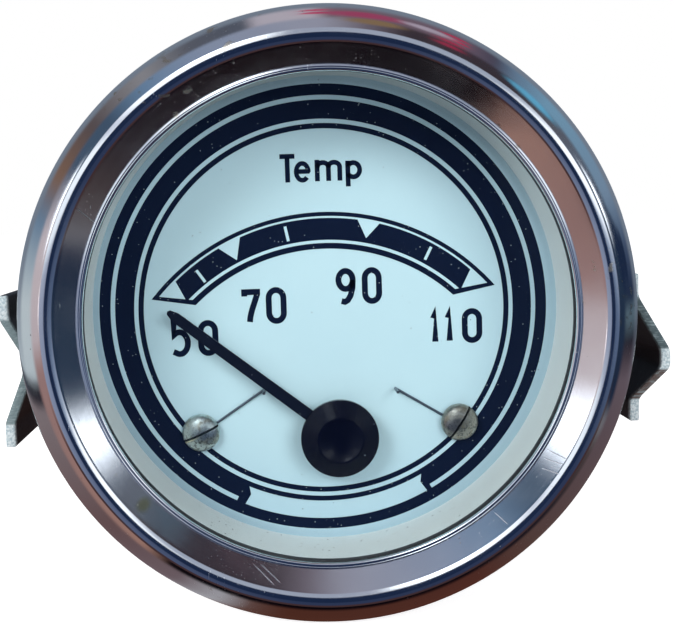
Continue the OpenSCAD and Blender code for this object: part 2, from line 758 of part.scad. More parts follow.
bezel();
glass();
glass_gasket();
light_ring();
case_cup();
dial_plate();
dial_screws();
stop_wires();
pointer_arm();
hub_cap();
arbor();
rotor_magnet();
front_plate();
back_plate();
front_bush();
pivot_screw();
movement_posts();
former_front();
former_back();
inner_winding();
outer_winding();
return_magnet();
series_resistor();
case_pillars();
case_screws();
coil_leads();
terminals();
inner_insulators();
outer_insulators();
terminal_washers();
terminal_nuts();
mounting_studs();
bracket();
spring_washers();
thumb_nut_left();
thumb_nut_right();
lamp_holder();
lamp_contact();
lamp_bulb();
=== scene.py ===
from math import atan2, cos, degrees, hypot, pi, radians, sin, tau

import bmesh
import bpy
from mathutils import Matrix, Vector


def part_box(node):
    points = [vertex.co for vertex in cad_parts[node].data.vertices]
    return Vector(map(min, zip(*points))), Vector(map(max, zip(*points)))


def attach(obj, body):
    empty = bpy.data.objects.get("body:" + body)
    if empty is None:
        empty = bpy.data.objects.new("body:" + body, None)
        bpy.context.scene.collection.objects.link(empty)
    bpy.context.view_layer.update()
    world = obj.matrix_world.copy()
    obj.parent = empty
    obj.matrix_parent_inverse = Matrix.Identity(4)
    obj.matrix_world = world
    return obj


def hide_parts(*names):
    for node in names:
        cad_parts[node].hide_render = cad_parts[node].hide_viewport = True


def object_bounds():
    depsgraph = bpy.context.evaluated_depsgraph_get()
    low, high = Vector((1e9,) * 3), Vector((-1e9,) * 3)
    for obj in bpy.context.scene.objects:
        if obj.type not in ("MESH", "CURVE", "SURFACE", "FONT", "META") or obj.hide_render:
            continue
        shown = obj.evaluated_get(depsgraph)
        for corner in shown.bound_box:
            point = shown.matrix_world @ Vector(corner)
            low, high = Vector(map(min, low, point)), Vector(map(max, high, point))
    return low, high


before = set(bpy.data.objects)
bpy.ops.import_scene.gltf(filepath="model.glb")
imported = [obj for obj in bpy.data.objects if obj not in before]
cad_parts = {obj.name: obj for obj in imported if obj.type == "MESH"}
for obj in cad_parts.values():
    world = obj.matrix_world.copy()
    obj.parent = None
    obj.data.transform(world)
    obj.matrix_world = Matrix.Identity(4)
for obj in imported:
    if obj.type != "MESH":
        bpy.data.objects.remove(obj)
cad_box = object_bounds()

# Camera: it looks at the dial from a little above and to the left, from just over ten
# centimetres away, and leans with the gauge, which is turned slightly in the picture.
mm = 0.001
picture_wide, focal = 675, 1100   # pixels
camera_seat = Vector((-5.010, -107.37, 11.240)) * mm
camera_turn = (Matrix.Rotation(radians(5.675), 3, "X") @ Matrix.Rotation(radians(3.216), 3, "Y")
               @ Matrix.Rotation(radians(1.8), 3, "Z"))
dial_to_row = Matrix(((1, 0, 0), (0, 0, -1), (0, 1, 0)))
camera_data = bpy.data.cameras.new("view")
camera_data.sensor_width = 36
camera_data.lens = camera_data.sensor_width * focal / picture_wide
camera_data.clip_start = 0.005
camera = bpy.data.objects.new("view", camera_data)
camera.matrix_world = (Matrix.Translation(camera_seat)
                       @ (dial_to_row @ camera_turn.transposed()).to_4x4())
bpy.context.scene.collection.objects.link(camera)
bpy.context.scene.camera = camera


class Value:
    """An output socket of a tree. Arithmetic on it adds Math nodes."""

    def __init__(self, tree, socket):
        self.tree, self.socket = tree, socket

    def math(self, operation, *others):
        values = dict(enumerate((self, *others)))
        return self.tree.add("ShaderNodeMath", values, operation=operation)

    def __add__(self, other):
        return self.math("ADD", other)

    def __sub__(self, other):
        return self.math("SUBTRACT", other)

    def __rsub__(self, other):
        return self.tree.add("ShaderNodeMath", {0: other, 1: self}, operation="SUBTRACT")

    def __mul__(self, other):
        return self.math("MULTIPLY", other)

    def __truediv__(self, other):
        return self.math("DIVIDE", other)

    __radd__, __rmul__ = __add__, __mul__


class Tree:
    """A node tree of the world, of a material or of Geometry Nodes."""

    def __init__(self, tree):
        self.tree = tree
        tree.nodes.clear()

    def add(self, kind, values, output=0, stops=(), **settings):
        node = self.tree.nodes.new(kind)
        for name, setting in settings.items():
            setattr(node, name, setting)
        for i, (place, colour) in enumerate(stops):
            stop = node.color_ramp.elements[i] if i < 2 else node.color_ramp.elements.new(place)
            stop.position, stop.color = place, (*colour, 1)
        for key, value in values.items():
            if isinstance(value, Value):
                self.tree.links.new(value.socket, node.inputs[key])
            elif value is not None:
                socket = node.inputs[key]
                rgba = getattr(socket, "type", "") == "RGBA" and len(value) == 3
                socket.default_value = (*value, 1) if rgba else value
        return Value(self, node.outputs[output]) if node.outputs else node

    def rise(self, value, low, high):
        """0 below low, 1 above high and smooth between them."""
        return self.add("ShaderNodeMapRange", {0: value, 1: low, 2: high},
                        interpolation_type="SMOOTHSTEP")

    def blend(self, factor, first, second):
        return self.add("ShaderNodeMix", {0: factor, 6: first, 7: second}, 2, data_type="RGBA")


# Studio: a white background, a pale floor, two soft lamps in front of the dial, and a tent round
# it all that only metal and gloss reflect. The tent is painted like a room: windows to the left,
# to the right and above, a dark bench below, and its middle as dark as the camera that looks in.
room = bpy.data.worlds.new("room")
bpy.context.scene.world = room
room.use_nodes = True
air = Tree(room.node_tree)


def shown_white(tree):
    """1 for the rays that see the white background, 0 for those that carry light."""
    kinds = [tree.add("ShaderNodeLightPath", {}, "Is %s Ray" % name)
             for name in ("Camera", "Glossy", "Transmission")]
    return kinds[0].math("MAXIMUM", kinds[1]).math("MAXIMUM", kinds[2])


daylight = (0.36, 0.36, 0.37)
seen = air.blend(shown_white(air), daylight, (1, 1, 1))
sky = air.add("ShaderNodeBackground", {"Color": seen, "Strength": 1.0})
air.add("ShaderNodeOutputWorld", {"Surface": sky})

# Colours of the room by direction round the dial, in degrees from its right, anticlockwise
beside = (   # level with the bezel: the cone and the lower flank show it
    (-180, (0.58, 0.5, 0.52)), (-173, (0.56, 0.48, 0.5)), (-167, (0.34, 0.21, 0.2)),
    (-147, (0.34, 0.2, 0.18)), (-127, (0.37, 0.21, 0.17)), (-121, (0.003, 0.002, 0.004)),
    (-66, (0.003, 0.002, 0.004)), (-46, (0.018, 0.014, 0.02)), (-32, (0.075, 0.055, 0.055)),
    (-26, (0.2, 0.2, 0.22)), (-23, (0.012, 0.022, 0.05)), (6, (0.022, 0.042, 0.08)),
    (26, (0.12, 0.15, 0.2)), (36, (0.1, 0.095, 0.11)), (42, (0.045, 0.035, 0.045)),
    (70, (0.045, 0.035, 0.045)), (79, (0.17, 0.145, 0.18)), (88, (0.33, 0.34, 0.42)),
    (115, (0.25, 0.31, 0.43)), (128, (0.15, 0.25, 0.39)), (138, (0.06, 0.1, 0.16)),
    (150, (0.06, 0.1, 0.16)), (166, (0.6, 0.53, 0.56)), (180, (0.58, 0.5, 0.52)),
)
behind = (   # behind the bezel: the upper flank shows it
    (-180, (0.55, 0.63, 0.66)), (-166, (0.52, 0.6, 0.64)), (-164, (0.01, 0.01, 0.018)),
    (-161, (0.012, 0.012, 0.022)), (-159, (0.23, 0.19, 0.2)), (-134, (0.145, 0.088, 0.09)),
    (-118, (0.17, 0.125, 0.14)), (-110, (0.4, 0.4, 0.43)), (-104, (0.12, 0.06, 0.05)),
    (-98, (0.085, 0.028, 0.018)), (-62, (0.09, 0.03, 0.022)), (-52, (0.098, 0.055, 0.048)),
    (-18, (0.13, 0.1, 0.12)), (-11, (0.014, 0.012, 0.022)), (-6, (0.11, 0.17, 0.21)),
    (-3, (0.012, 0.022, 0.055)), (7, (0.06, 0.09, 0.16)), (17, (0.19, 0.28, 0.39)),
    (38, (0.18, 0.35, 0.49)), (46, (0.14, 0.22, 0.32)), (51, (0.07, 0.065, 0.1)),
    (58, (0.15, 0.11, 0.15)), (86, (0.18, 0.13, 0.16)), (90, (0.48, 0.44, 0.5)),
    (101, (0.48, 0.45, 0.51)), (104, (0.09, 0.105, 0.14)), (116, (0.11, 0.12, 0.15)),
    (127, (0.27, 0.27, 0.29)), (141, (0.1, 0.08, 0.085)), (154, (0.22, 0.13, 0.09)),
    (163, (0.14, 0.23, 0.34)), (180, (0.55, 0.63, 0.66)),
)
ahead = (   # in front of the bezel: the crest, the lip and the hub cap show it
    (-180, (0.34, 0.39, 0.52)), (-150, (0.22, 0.27, 0.4)), (-125, (0.085, 0.115, 0.21)),
    (-95, (0.03, 0.045, 0.1)), (-40, (0.03, 0.045, 0.1)), (-10, (0.11, 0.16, 0.27)),
    (4, (0.34, 0.42, 0.56)), (12, (1.3, 1.4, 1.5)), (28, (1.3, 1.4, 1.5)), (40, (0.4, 0.46, 0.57)),
    (94, (0.36, 0.4, 0.5)), (101, (1.3, 1.4, 1.5)), (132, (1.3, 1.4, 1.5)), (140, (0.6, 0.66, 0.8)),
    (148, (1.1, 1.2, 1.3)), (168, (1, 1.1, 1.2)), (176, (0.42, 0.47, 0.6)),
    (180, (0.34, 0.39, 0.52)),
)
tent_paint = bpy.data.materials.new("tent")
tent_paint.use_nodes = True
cloth = Tree(tent_paint.node_tree)
aim = cloth.add("ShaderNodeVectorMath", {0: cloth.add("ShaderNodeTexCoord", {}, "Object")},
                operation="NORMALIZE")
to_right, to_back, to_top = (cloth.add("ShaderNodeSeparateXYZ", {0: aim}, axis) for axis in "XYZ")
around = to_top.math("ARCTAN2", to_right) / tau + 0.5
rows = [cloth.add("ShaderNodeValToRGB", {0: around}, stops=[(a / 360 + 0.5, c) for a, c in row])
        for row in (beside, behind, ahead)]
paint = cloth.blend(cloth.rise(to_back, -0.14, 0.02), rows[0], rows[1])


def glow(before, angle, back, inner, outer, colour):
    """Adds a soft round patch of light to the tent, its half-widths in degrees."""
    flat = (1 - back * back) ** 0.5
    towards = (flat * cos(radians(angle)), back, flat * sin(radians(angle)))
    near = cloth.add("ShaderNodeVectorMath", {0: aim, 1: towards}, "Value", operation="DOT_PRODUCT")
    return cloth.blend(cloth.rise(near, cos(radians(outer)), cos(radians(inner))), before, colour)


def pane_of_light(before, start, end, front, back, colour):
    """Adds a window to the tent between two directions round the dial and two depths."""
    def between(value, low, high, soft):
        enter, leave = (cloth.rise(value, edge - soft, edge + soft) for edge in (low, high))
        return enter - leave

    across = between(around, start / 360 + 0.5, end / 360 + 0.5, 6 / 360)
    return cloth.blend(across * between(to_back, front, back, 0.03), before, colour)


navy = (0.012, 0.024, 0.060)
for angle, back, half, colour in (   # red, grey, brown and dark blue things in the room
        (60, 0.30, 4, (0.50, 0.03, 0.09)), (60, 0.14, 4, (0.50, 0.03, 0.09)),
        (61, -0.02, 4, (0.42, 0.03, 0.08)), (61, -0.18, 4, (0.40, 0.03, 0.08)),
        (89, 0.34, 4, (0.50, 0.04, 0.12)), (89, 0.18, 4, (0.50, 0.04, 0.12)),
        (79, 0.16, 11, (0.34, 0.06, 0.13)), (66, 0.16, 7, (0.42, 0.36, 0.44)),
        (77, -0.12, 8, (0.24, 0.16, 0.09)), (6, -0.05, 10, navy), (5, 0.12, 7, navy)):
    paint = glow(paint, angle, back, half * 0.4, half, colour)
far_wall = cloth.rise(to_back, 0.35, 0.62) * cloth.rise(to_top, -0.35, 0.15)
paint = cloth.blend(far_wall, paint, (0.19, 0.23, 0.29))
low_front = cloth.rise(0 - to_back, 0.27, 0.35) * cloth.rise(0 - to_top, 0.25, 0.5)
paint = cloth.blend(low_front, paint, (0.060, 0.032, 0.034))
paint = glow(paint, 41, -0.13, 3, 8, (0.13, 0.46, 0.70))
paint = cloth.blend(cloth.rise(0 - to_back, 0.54, 0.66), paint, rows[2])
for window in ((12, 21, -0.34, -0.225, (3.2, 3.5, 3.8)), (152, 166, -0.43, -0.32, (3.2, 3.5, 3.8)),
               (104, 120, -0.90, -0.60, (5.0, 5.4, 5.8))):
    paint = pane_of_light(paint, *window)
paint = glow(paint, 181, -0.51, 1.5, 4, (1.7, 1.6, 1.7))
camera_dark = (0.012, 0.024, 0.065)
paint = cloth.blend(cloth.rise(0 - to_back, 0.945, 0.975), paint, camera_dark)
paint = glow(paint, 280, -0.955, 7, 13, camera_dark)
shine = cloth.add("ShaderNodeEmission", {"Color": paint, "Strength": 1.0})
cloth.add("ShaderNodeOutputMaterial", {"Surface": shine})
tent_radius = 0.45
ball = bmesh.new()
bmesh.ops.create_uvsphere(ball, u_segments=64, v_segments=32, radius=tent_radius)
tent_mesh = bpy.data.meshes.new("tent")
ball.to_mesh(tent_mesh)
ball.free()
tent_mesh.materials.append(tent_paint)
tent = bpy.data.objects.new("tent", tent_mesh)
bpy.context.scene.collection.objects.link(tent)
tent.visible_camera = tent.visible_diffuse = tent.visible_transmission = tent.visible_shadow = False

floor_mesh = bpy.data.meshes.new("floor")
floor_z, reach = cad_box[0][2], 2.0
floor_mesh.from_pydata([(sx * reach, sy * reach, floor_z)
                        for sx, sy in ((-1, -1), (1, -1), (1, 1), (-1, 1))], [], [(0, 1, 2, 3)])
floor_paint = bpy.data.materials.new("pale_floor")
floor_paint.use_nodes = True
lino = Tree(floor_paint.node_tree)
matt = lino.add("ShaderNodeBsdfDiffuse", {"Color": (0.80, 0.80, 0.80)})
lamp_white = lino.add("ShaderNodeEmission", {"Color": (1, 1, 1), "Strength": 0.80})
both = lino.add("ShaderNodeAddShader", {0: matt, 1: lamp_white})
top_side = lino.add("ShaderNodeMixShader", {0: shown_white(lino), 1: matt, 2: both})
from_below = lino.add("ShaderNodeNewGeometry", {}, "Backfacing")   # there the floor is clear
lino.add("ShaderNodeOutputMaterial", {"Surface": lino.add("ShaderNodeMixShader", {
    0: from_below, 1: top_side, 2: lino.add("ShaderNodeBsdfTransparent", {})})})
floor_mesh.materials.append(floor_paint)
floor = bpy.data.objects.new("floor", floor_mesh)
bpy.context.scene.collection.objects.link(floor)
floor.visible_glossy = False

for name, seat, size, power in (("left_lamp", (-0.54, -0.76, 0.50), 0.42, 6.3),
                                ("right_lamp", (0.42, -0.88, 0.28), 0.50, 4.8)):
    light = bpy.data.lights.new(name, "AREA")
    light.size, light.energy = size, power
    lamp = bpy.data.objects.new(name, light)
    lamp.matrix_world = (Matrix.Translation(seat)
                         @ (-Vector(seat)).to_track_quat("-Z", "Y").to_matrix().to_4x4())
    lamp.visible_glossy = False
    bpy.context.scene.collection.objects.link(lamp)
bpy.context.scene.view_settings.view_transform = "Standard"


# Bezel: a ring of sheet brass spun to a round flank, a rounded crest, a cone and a rolled lip,
# then chromed. Its edge is crimped behind the case flange. The cone is brushed and scratched.
class Finish(Tree):
    """A material of one Principled shader."""

    def __init__(self, name):
        self.material = bpy.data.materials.new(name)
        self.material.use_nodes = True
        super().__init__(self.material.node_tree)
        self.spot = self.add("ShaderNodeTexCoord", {}, "Object")

    def noise(self, size, detail=3, spot=None):
        """Soft random values from 0 to 1, with features of about that size in millimetres."""
        return self.add("ShaderNodeTexNoise", {
            "Vector": spot or self.spot, "Scale": 1 / (size * mm), "Detail": detail})

    def specks(self, cell, size, share):
        """Small spots of up to that size in cells of that width, in that share of the cells."""
        cells = {"Vector": self.spot, "Scale": 1 / (cell * mm)}
        near, pick = (self.add("ShaderNodeTexVoronoi", cells, out) for out in ("Distance", "Color"))
        pick = self.add("ShaderNodeSeparateXYZ", {0: pick}, "X").math("GREATER_THAN", 1 - share)
        return (1 - self.rise(near, size / cell * 0.5, size / cell)) * pick

    def axes(self):
        parts = self.add("ShaderNodeSeparateXYZ", {0: self.spot})
        return [Value(self, parts.socket.node.outputs[i]) for i in range(3)]

    def polar(self, at=(0, 0)):
        """The distance from a line along Y through a point, the angle round it, and the depth."""
        x, y, z = self.axes()
        x, z = x - at[0], z - at[1]
        return (x * x + z * z).math("SQRT"), z.math("ARCTAN2", x), y

    def turned(self, size, at=(0, 0)):
        """Noise drawn out round the axis, as a lathe leaves it."""
        radius, angle, y = self.polar(at)
        spot = self.add("ShaderNodeCombineXYZ", {0: radius, 1: y, 2: angle * 0.25 * size * mm})
        return self.noise(size, 2, spot)

    def bump(self, height, depth, before=None):
        """A normal from a height of 0 to 1 that stands for depth millimetres."""
        return self.add("ShaderNodeBump", {"Height": height, "Distance": depth * mm,
                                           "Normal": before})

    def close(self, colour, rough, metal=0.0, normal=None, **constants):
        values = {"Base Color": colour, "Roughness": rough, "Metallic": metal, "Normal": normal}
        values.update({name.replace("_", " "): value for name, value in constants.items()})
        shader = self.add("ShaderNodeBsdfPrincipled", values)
        self.add("ShaderNodeOutputMaterial", {"Surface": shader})
        return self.material


def piece_of(name, bm, *materials, sharp=35):
    """A smooth-shaded object from a bmesh, with edges left sharp over an angle."""
    bmesh.ops.recalc_face_normals(bm, faces=bm.faces)
    for edge in bm.edges:
        edge.smooth = edge.calc_face_angle(0) < radians(sharp)
    for face in bm.faces:
        face.smooth = True
    mesh = bpy.data.meshes.new(name)
    bm.to_mesh(mesh)
    bm.free()
    for material in materials:
        mesh.materials.append(material)
    piece = bpy.data.objects.new(name, mesh)
    bpy.context.scene.collection.objects.link(piece)
    return piece


def lathe(bm, section, turns, centre=(0, 0)):
    """Adds a section of radius and depth in millimetres, turned in steps about a line along Y."""
    around = [(cos(tau * step / turns), sin(tau * step / turns)) for step in range(turns)]
    rings = [[bm.verts.new((centre[0] + r * mm * across, y * mm, centre[1] + r * mm * up))
              for r, y in section] for across, up in around]
    n = len(section)
    for i in range(turns):
        here, there = rings[i], rings[(i + 1) % turns]
        for k in range(n):
            m = (k + 1) % n
            if section[k][0] < 1e-6 and section[m][0] < 1e-6:
                continue
            corners = [here[k], here[m], there[m], there[k]]
            if section[k][0] < 1e-6:
                corners.remove(there[k])
            elif section[m][0] < 1e-6:
                corners.remove(there[m])
            bm.faces.new(corners)
    bmesh.ops.remove_doubles(bm, verts=bm.verts, dist=1e-7)


def bow(centre, radius, start, end, steps):
    """Points in order on an arc, with angles in degrees."""
    angles = [radians(start + (end - start) * i / steps) for i in range(steps + 1)]
    return [(centre[0] + radius * cos(a), centre[1] + radius * sin(a)) for a in angles]


bezel_low, bezel_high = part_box("bezel")
edge_r, crest = bezel_high.x / mm, bezel_low.y / mm
rim_r, rim_y, sheet, crimp_r = edge_r - 0.1, -1.6, 0.45, 27.3
lip_r, roll, cone_r = edge_r - 6.56, 0.26, edge_r - 5.95
crest_r, turn_in = 1.23, 30   # the crest's roundness, and how far it turns down into the flank
crest_mid = (edge_r - 3.38, crest + 0.01 + crest_r)
flank_r = crest_mid[0] + crest_r * sin(radians(turn_in))
flank_top = crest_mid[1] - crest_r * cos(radians(turn_in))
flank_a = 55
flank_w = (rim_r - flank_r) / (1 - cos(radians(flank_a)))
flank_h = (rim_y - flank_top) / sin(radians(flank_a))


def flank(angles, inward=0.0):
    """Points of the flank, or of its inner side, from angles up from the rim in degrees."""
    return [(rim_r - inward - (flank_w - inward) * (1 - cos(radians(a))),
             rim_y - (flank_h - inward) * sin(radians(a))) for a in angles]


cone_end = (crest_mid[0] - crest_r * cos(radians(45)), crest_mid[1] - crest_r * sin(radians(45)))
cone_y = cone_end[1] + cone_end[0] - cone_r
cone_step = (cone_end[0] - cone_r) / 6
rim_mid = (rim_r + rim_y, rim_y)
section = (bow((lip_r + roll, cone_y + 0.20), roll, 180, 290, 12)
           + bow((cone_r - 0.12, cone_y - 0.02), 0.09, 235, 225, 2)
           + [(cone_r + i * cone_step, cone_y - i * cone_step) for i in range(6)]
           + bow(crest_mid, crest_r, 225, 270 + turn_in, 30)[:-1]
           + flank([flank_a * (1 - i / 40) for i in range(41)])
           + bow(rim_mid, -rim_y, 4, 90, 14) + [(crimp_r, -0.03), (crimp_r, -sheet)]
           + bow(rim_mid, -rim_y - sheet, 90, 4, 10) + flank(range(4, 53, 4), sheet)
           + [(26.5, -5.50), (25.7, -5.05), (24.3, -3.6)])
bm = bmesh.new()
lathe(bm, section, 420)

chrome = Finish("bezel_chrome")
radius = chrome.polar()[0]
x, y, z = chrome.axes()
lathe_lines = chrome.turned(0.12)
cloud = chrome.noise(2.6, 4)
haze = chrome.rise(chrome.noise(5.5, 3), 0.42, 0.72)
slanted = chrome.add("ShaderNodeMapping", {"Vector": chrome.spot, "Rotation": (0, radians(28), 0),
                                           "Scale": (9000, 9000, 260)})
scores = chrome.add("ShaderNodeTexNoise", {"Vector": slanted, "Scale": 1.0, "Detail": 1.0})
scores = chrome.rise(scores, 0.70, 0.78) * chrome.rise(chrome.noise(7, 2), 0.50, 0.62)
pits = chrome.specks(0.9, 0.085, 0.16) * chrome.rise(chrome.noise(6, 2), 0.50, 0.60)
rust = chrome.rise(chrome.noise(1.1, 5), 0.60, 0.72) * chrome.rise(chrome.noise(9, 1), 0.56, 0.66)
on_front = chrome.rise(0 - y, 0.0030, 0.0036)


def nick(x1, z1, x2, z2, width):
    """A straight scratch between two points of the front, in millimetres."""
    size = hypot(x2 - x1, z2 - z1)
    ax, az = (x2 - x1) / size, (z2 - z1) / size
    dx, dz = x - x1 * mm, z - z1 * mm
    along, off = dx * ax + dz * az, (dx * az - dz * ax).math("ABSOLUTE")
    ends = (chrome.rise(along, 0, 0.25 * size * mm)
            * (1 - chrome.rise(along, 0.75 * size * mm, size * mm)))
    return ends * (1 - chrome.rise(off, 0.4 * width * mm, width * mm)) * on_front


nicks = nick(-8.6, -22.8, -6.2, -25.0, 0.05)
for line in ((-7.9, -22.9, -5.6, -24.9, 0.05), (19.9, -13.9, 21.6, -14.3, 0.05),
             (20.3, -13.1, 22.1, -13.9, 0.05), (19.6, -14.8, 21.3, -15.2, 0.045),
             (15.0, -19.0, 16.2, -20.0, 0.04), (-21.6, 9.9, -23.2, 11.6, 0.03)):
    nicks = nicks.math("MAXIMUM", nick(*line))
gold = chrome.polar((-0.0185, -0.0166))[0]   # a spot where the chrome is gone
gold = (1 - chrome.rise(gold, 0.0002, 0.0009)) * on_front
tone = chrome.blend(cloud, (0.76, 0.76, 0.79), (0.82, 0.82, 0.83))
tone = chrome.blend(gold * 0.7, tone, (0.62, 0.56, 0.22))
tone = chrome.blend(rust * 0.55, tone, (0.42, 0.30, 0.12))
tone = chrome.blend(pits, tone, (0.10, 0.07, 0.05))
brushed = (1 - chrome.rise(radius, 0.0256, 0.0259)) * chrome.rise(radius, 0.0239, 0.0242)
rough = 0.07 + 0.06 * brushed + 0.06 * haze + 0.05 * lathe_lines + 0.22 * scores
rough = rough + 0.25 * rust + 0.4 * pits + 0.25 * nicks
relief = chrome.bump(lathe_lines, 0.0010)
relief = chrome.bump(scores + 2 * nicks, 0.003, relief)
relief = chrome.bump(chrome.noise(1.7, 2), 0.004, relief)
relief = chrome.bump(1 - pits, 0.02, relief)
bezel = piece_of("bezel_ring", bm, chrome.close(tone, rough, 1.0, relief), sharp=50)
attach(bezel, "case")
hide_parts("bezel")


# Glass: a flat disc of window glass behind the lip, with a little dust. Lamps light the dial
# through it, so a ray towards a lamp passes straight through.
def dress(material, *nodes):
    """Gives CAD nodes a finish in their own material slots."""
    for node in nodes:
        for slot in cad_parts[node].material_slots:
            slot.material = material


pane = Finish("window_glass")
dust = pane.rise(pane.noise(0.35, 4), 0.66, 0.80)
clear = pane.add("ShaderNodeBsdfPrincipled", {
    "Base Color": (0.985, 0.995, 0.995), "IOR": 1.45, "Transmission Weight": 1.0,
    "Roughness": 0.01 + 0.015 * dust})
straight = pane.add("ShaderNodeBsdfTransparent", {"Color": (0.96, 0.98, 0.98)})
shadow, diffuse, glossy, bent = (pane.add("ShaderNodeLightPath", {}, "Is %s Ray" % name)
                                 for name in ("Shadow", "Diffuse", "Glossy", "Transmission"))
sheet_glass = pane.add("ShaderNodeMixShader", {0: bent, 1: straight, 2: clear})
sheet_glass = pane.add("ShaderNodeMixShader", {0: glossy, 1: clear, 2: sheet_glass})
for way in (diffuse, shadow):
    sheet_glass = pane.add("ShaderNodeMixShader", {0: way, 1: sheet_glass, 2: straight})
pane.add("ShaderNodeOutputMaterial", {"Surface": sheet_glass})
dress(pane.material, "glass")


# Gasket: a thin ring of black rubber that lies between the glass and the light ring. Only its
# inner edge shows, as a dark line with a little grey bloom.
def grainy(name, size, detail, low, high, rough, gain=0.0, metal=0.0, depth=0.0):
    """A finish whose colour, roughness and relief all follow one grain."""
    finish = Finish(name)
    grain = finish.noise(size, detail)
    return finish.close(finish.blend(grain, low, high), rough + gain * grain if gain else rough,
                        metal, finish.bump(grain, depth) if depth else None)


dress(grainy("gasket_rubber", 0.5, 4, (0.012, 0.012, 0.014), (0.06, 0.06, 0.065), 0.62, 0.2,
             depth=0.02), "glass_gasket")

# Light ring: a cream plastic moulding that spaces the glass from the dial and carries the
# lamp's light round it. Specks of dirt have gathered low down on its wall.
cream = Finish("ring_plastic")
x, y, z = cream.axes()
low_down = cream.rise(0 - z, 0.012, 0.022)
mould = cream.noise(3.0, 4)
soil = cream.specks(0.7, 0.12, 0.20) * low_down
grime = cream.rise(cream.noise(0.55, 5), 0.60, 0.74) * low_down * cream.rise(y, -0.0016, 0.001)
hue = cream.blend(mould, (0.86, 0.91, 0.89), (0.90, 0.94, 0.92))
# Painted shade: the upper part of the wall is painted darker, as the bezel's lip shades it.
hue = cream.blend(cream.rise(z, 0.010, 0.024), hue, (0.55, 0.60, 0.60))
hue = cream.blend(grime * 0.30, hue, (0.42, 0.36, 0.24))
hue = cream.blend(soil, hue, (0.06, 0.045, 0.035))
dress(cream.close(hue, 0.34 + 0.15 * mould, normal=cream.bump(cream.noise(0.4, 3), 0.006),
                  Coat_Weight=0.25, Coat_Roughness=0.2), "light_ring")

# Dial: a white enamelled plate printed in blue-black with three rings, an arched scale, the
# numbers and a plain word. The ribbon at its foot is bare.
enamel = Finish("dial_white")
radius = enamel.polar()[0]
x, y, z = enamel.axes()
paint = enamel.blend(enamel.noise(9.0, 3), (0.51, 0.72, 0.80), (0.56, 0.77, 0.84))
# Painted shade: the enamel is painted darker towards the rim, as the deep bezel well shades it.
paint = enamel.blend(enamel.rise(radius, 0.012, 0.025), paint, (0.44, 0.62, 0.71))
# Painted shade: the margin outside the outer ring is painted darker, as the lip shades it, less so
# towards the lower right.
painted_lip_shade = enamel.rise(radius, 0.0230, 0.0240) * (1 - 0.7 * enamel.rise(x - z, 0.008, 0.032))
paint = enamel.blend(painted_lip_shade, paint, (0.31, 0.44, 0.52))
paint = enamel.blend(enamel.specks(0.8, 0.07, 0.16), paint, (0.10, 0.11, 0.12))
dial_white = enamel.close(paint, 0.42, normal=enamel.bump(enamel.noise(0.25, 3), 0.003),
                          Coat_Weight=0.15)
dress(dial_white, "dial_plate")

ink = Finish("dial_ink")
grain = ink.noise(0.12, 3)
lint = ink.specks(0.4, 0.06, 0.26)
black = ink.blend(grain, (0.002, 0.005, 0.017), (0.005, 0.011, 0.034))
dial_ink = ink.close(ink.blend(lint, black, (0.45, 0.52, 0.56)), 0.42 + 0.1 * grain,
                     normal=ink.bump(grain, 0.004), Specular_IOR_Level=0.06)

dial_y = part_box("dial_plate")[0].y / mm
print_scale, print_x, print_z = 0.9974, -0.21, 0.07   # it sits a little high and to the left
coats, sunk = (0.015, 0.030, 0.042, 0.052), 0.01   # each coat of print covers the one before
inked, white = 0, 1
bm = bmesh.new()


def printed(point, depth):
    """A corner of the print, depth millimetres behind the plate's face."""
    return bm.verts.new(((point[0] * print_scale + print_x) * mm, (dial_y + depth) * mm,
                         (point[1] * print_scale + print_z) * mm))


def band(outer, inner, rise, paint, closed=False):
    """Prints a strip between two lines of points, rise millimetres thick."""
    made = [[printed(a, -rise), printed(b, -rise), printed(b, sunk), printed(a, sunk)]
            for a, b in zip(outer, inner)]
    pairs = list(zip(made, made[1:])) + ([(made[-1], made[0])] if closed else [])
    faces = [bm.faces.new((a[k], a[(k + 1) % 4], b[(k + 1) % 4], b[k]))
             for a, b in pairs for k in range(4)]
    if not closed:
        faces += [bm.faces.new(made[0]), bm.faces.new(made[-1])]
    for face in faces:
        face.material_index = paint


def patch(outline, rise, paint):
    """Prints a flat shape with any outline."""
    front, back = ([printed(point, depth) for point in outline] for depth in (-rise, sunk))
    faces = [bm.faces.new(front), bm.faces.new(back)]
    faces += [bm.faces.new((front[i - 1], front[i], back[i], back[i - 1]))
              for i in range(len(outline))]
    for face in faces:
        face.material_index = paint


def stroke(points, width, rise, paint=inked, closed=False):
    """Prints a line of even width along points."""
    n = len(points)
    left, right = [], []
    for i, (px, pz) in enumerate(points):
        before = points[(i - 1) % n] if closed or i else None
        after = points[(i + 1) % n] if closed or i < n - 1 else None
        dirs = []
        for a, b in ((before, (px, pz)), ((px, pz), after)):
            if a and b:
                size = hypot(b[0] - a[0], b[1] - a[1]) or 1
                dirs.append(((b[0] - a[0]) / size, (b[1] - a[1]) / size))
        tx, tz = sum(d[0] for d in dirs), sum(d[1] for d in dirs)
        size = hypot(tx, tz)
        tx, tz = tx / size, tz / size
        half = width / 2 / max(0.5, tx * dirs[0][0] + tz * dirs[0][1])
        left.append((px - tz * half, pz + tx * half))
        right.append((px + tz * half, pz - tx * half))
    band(left, right, rise, paint, closed)


def ring_part(inner, outer, start, end):
    """Prints part of a ring round the dial's middle."""
    whole = end - start == 360
    edges = [bow((0, 0), radius, start, end, 300) for radius in (outer, inner)]
    band(*[edge[:-1] if whole else edge for edge in edges], coats[0], inked, whole)


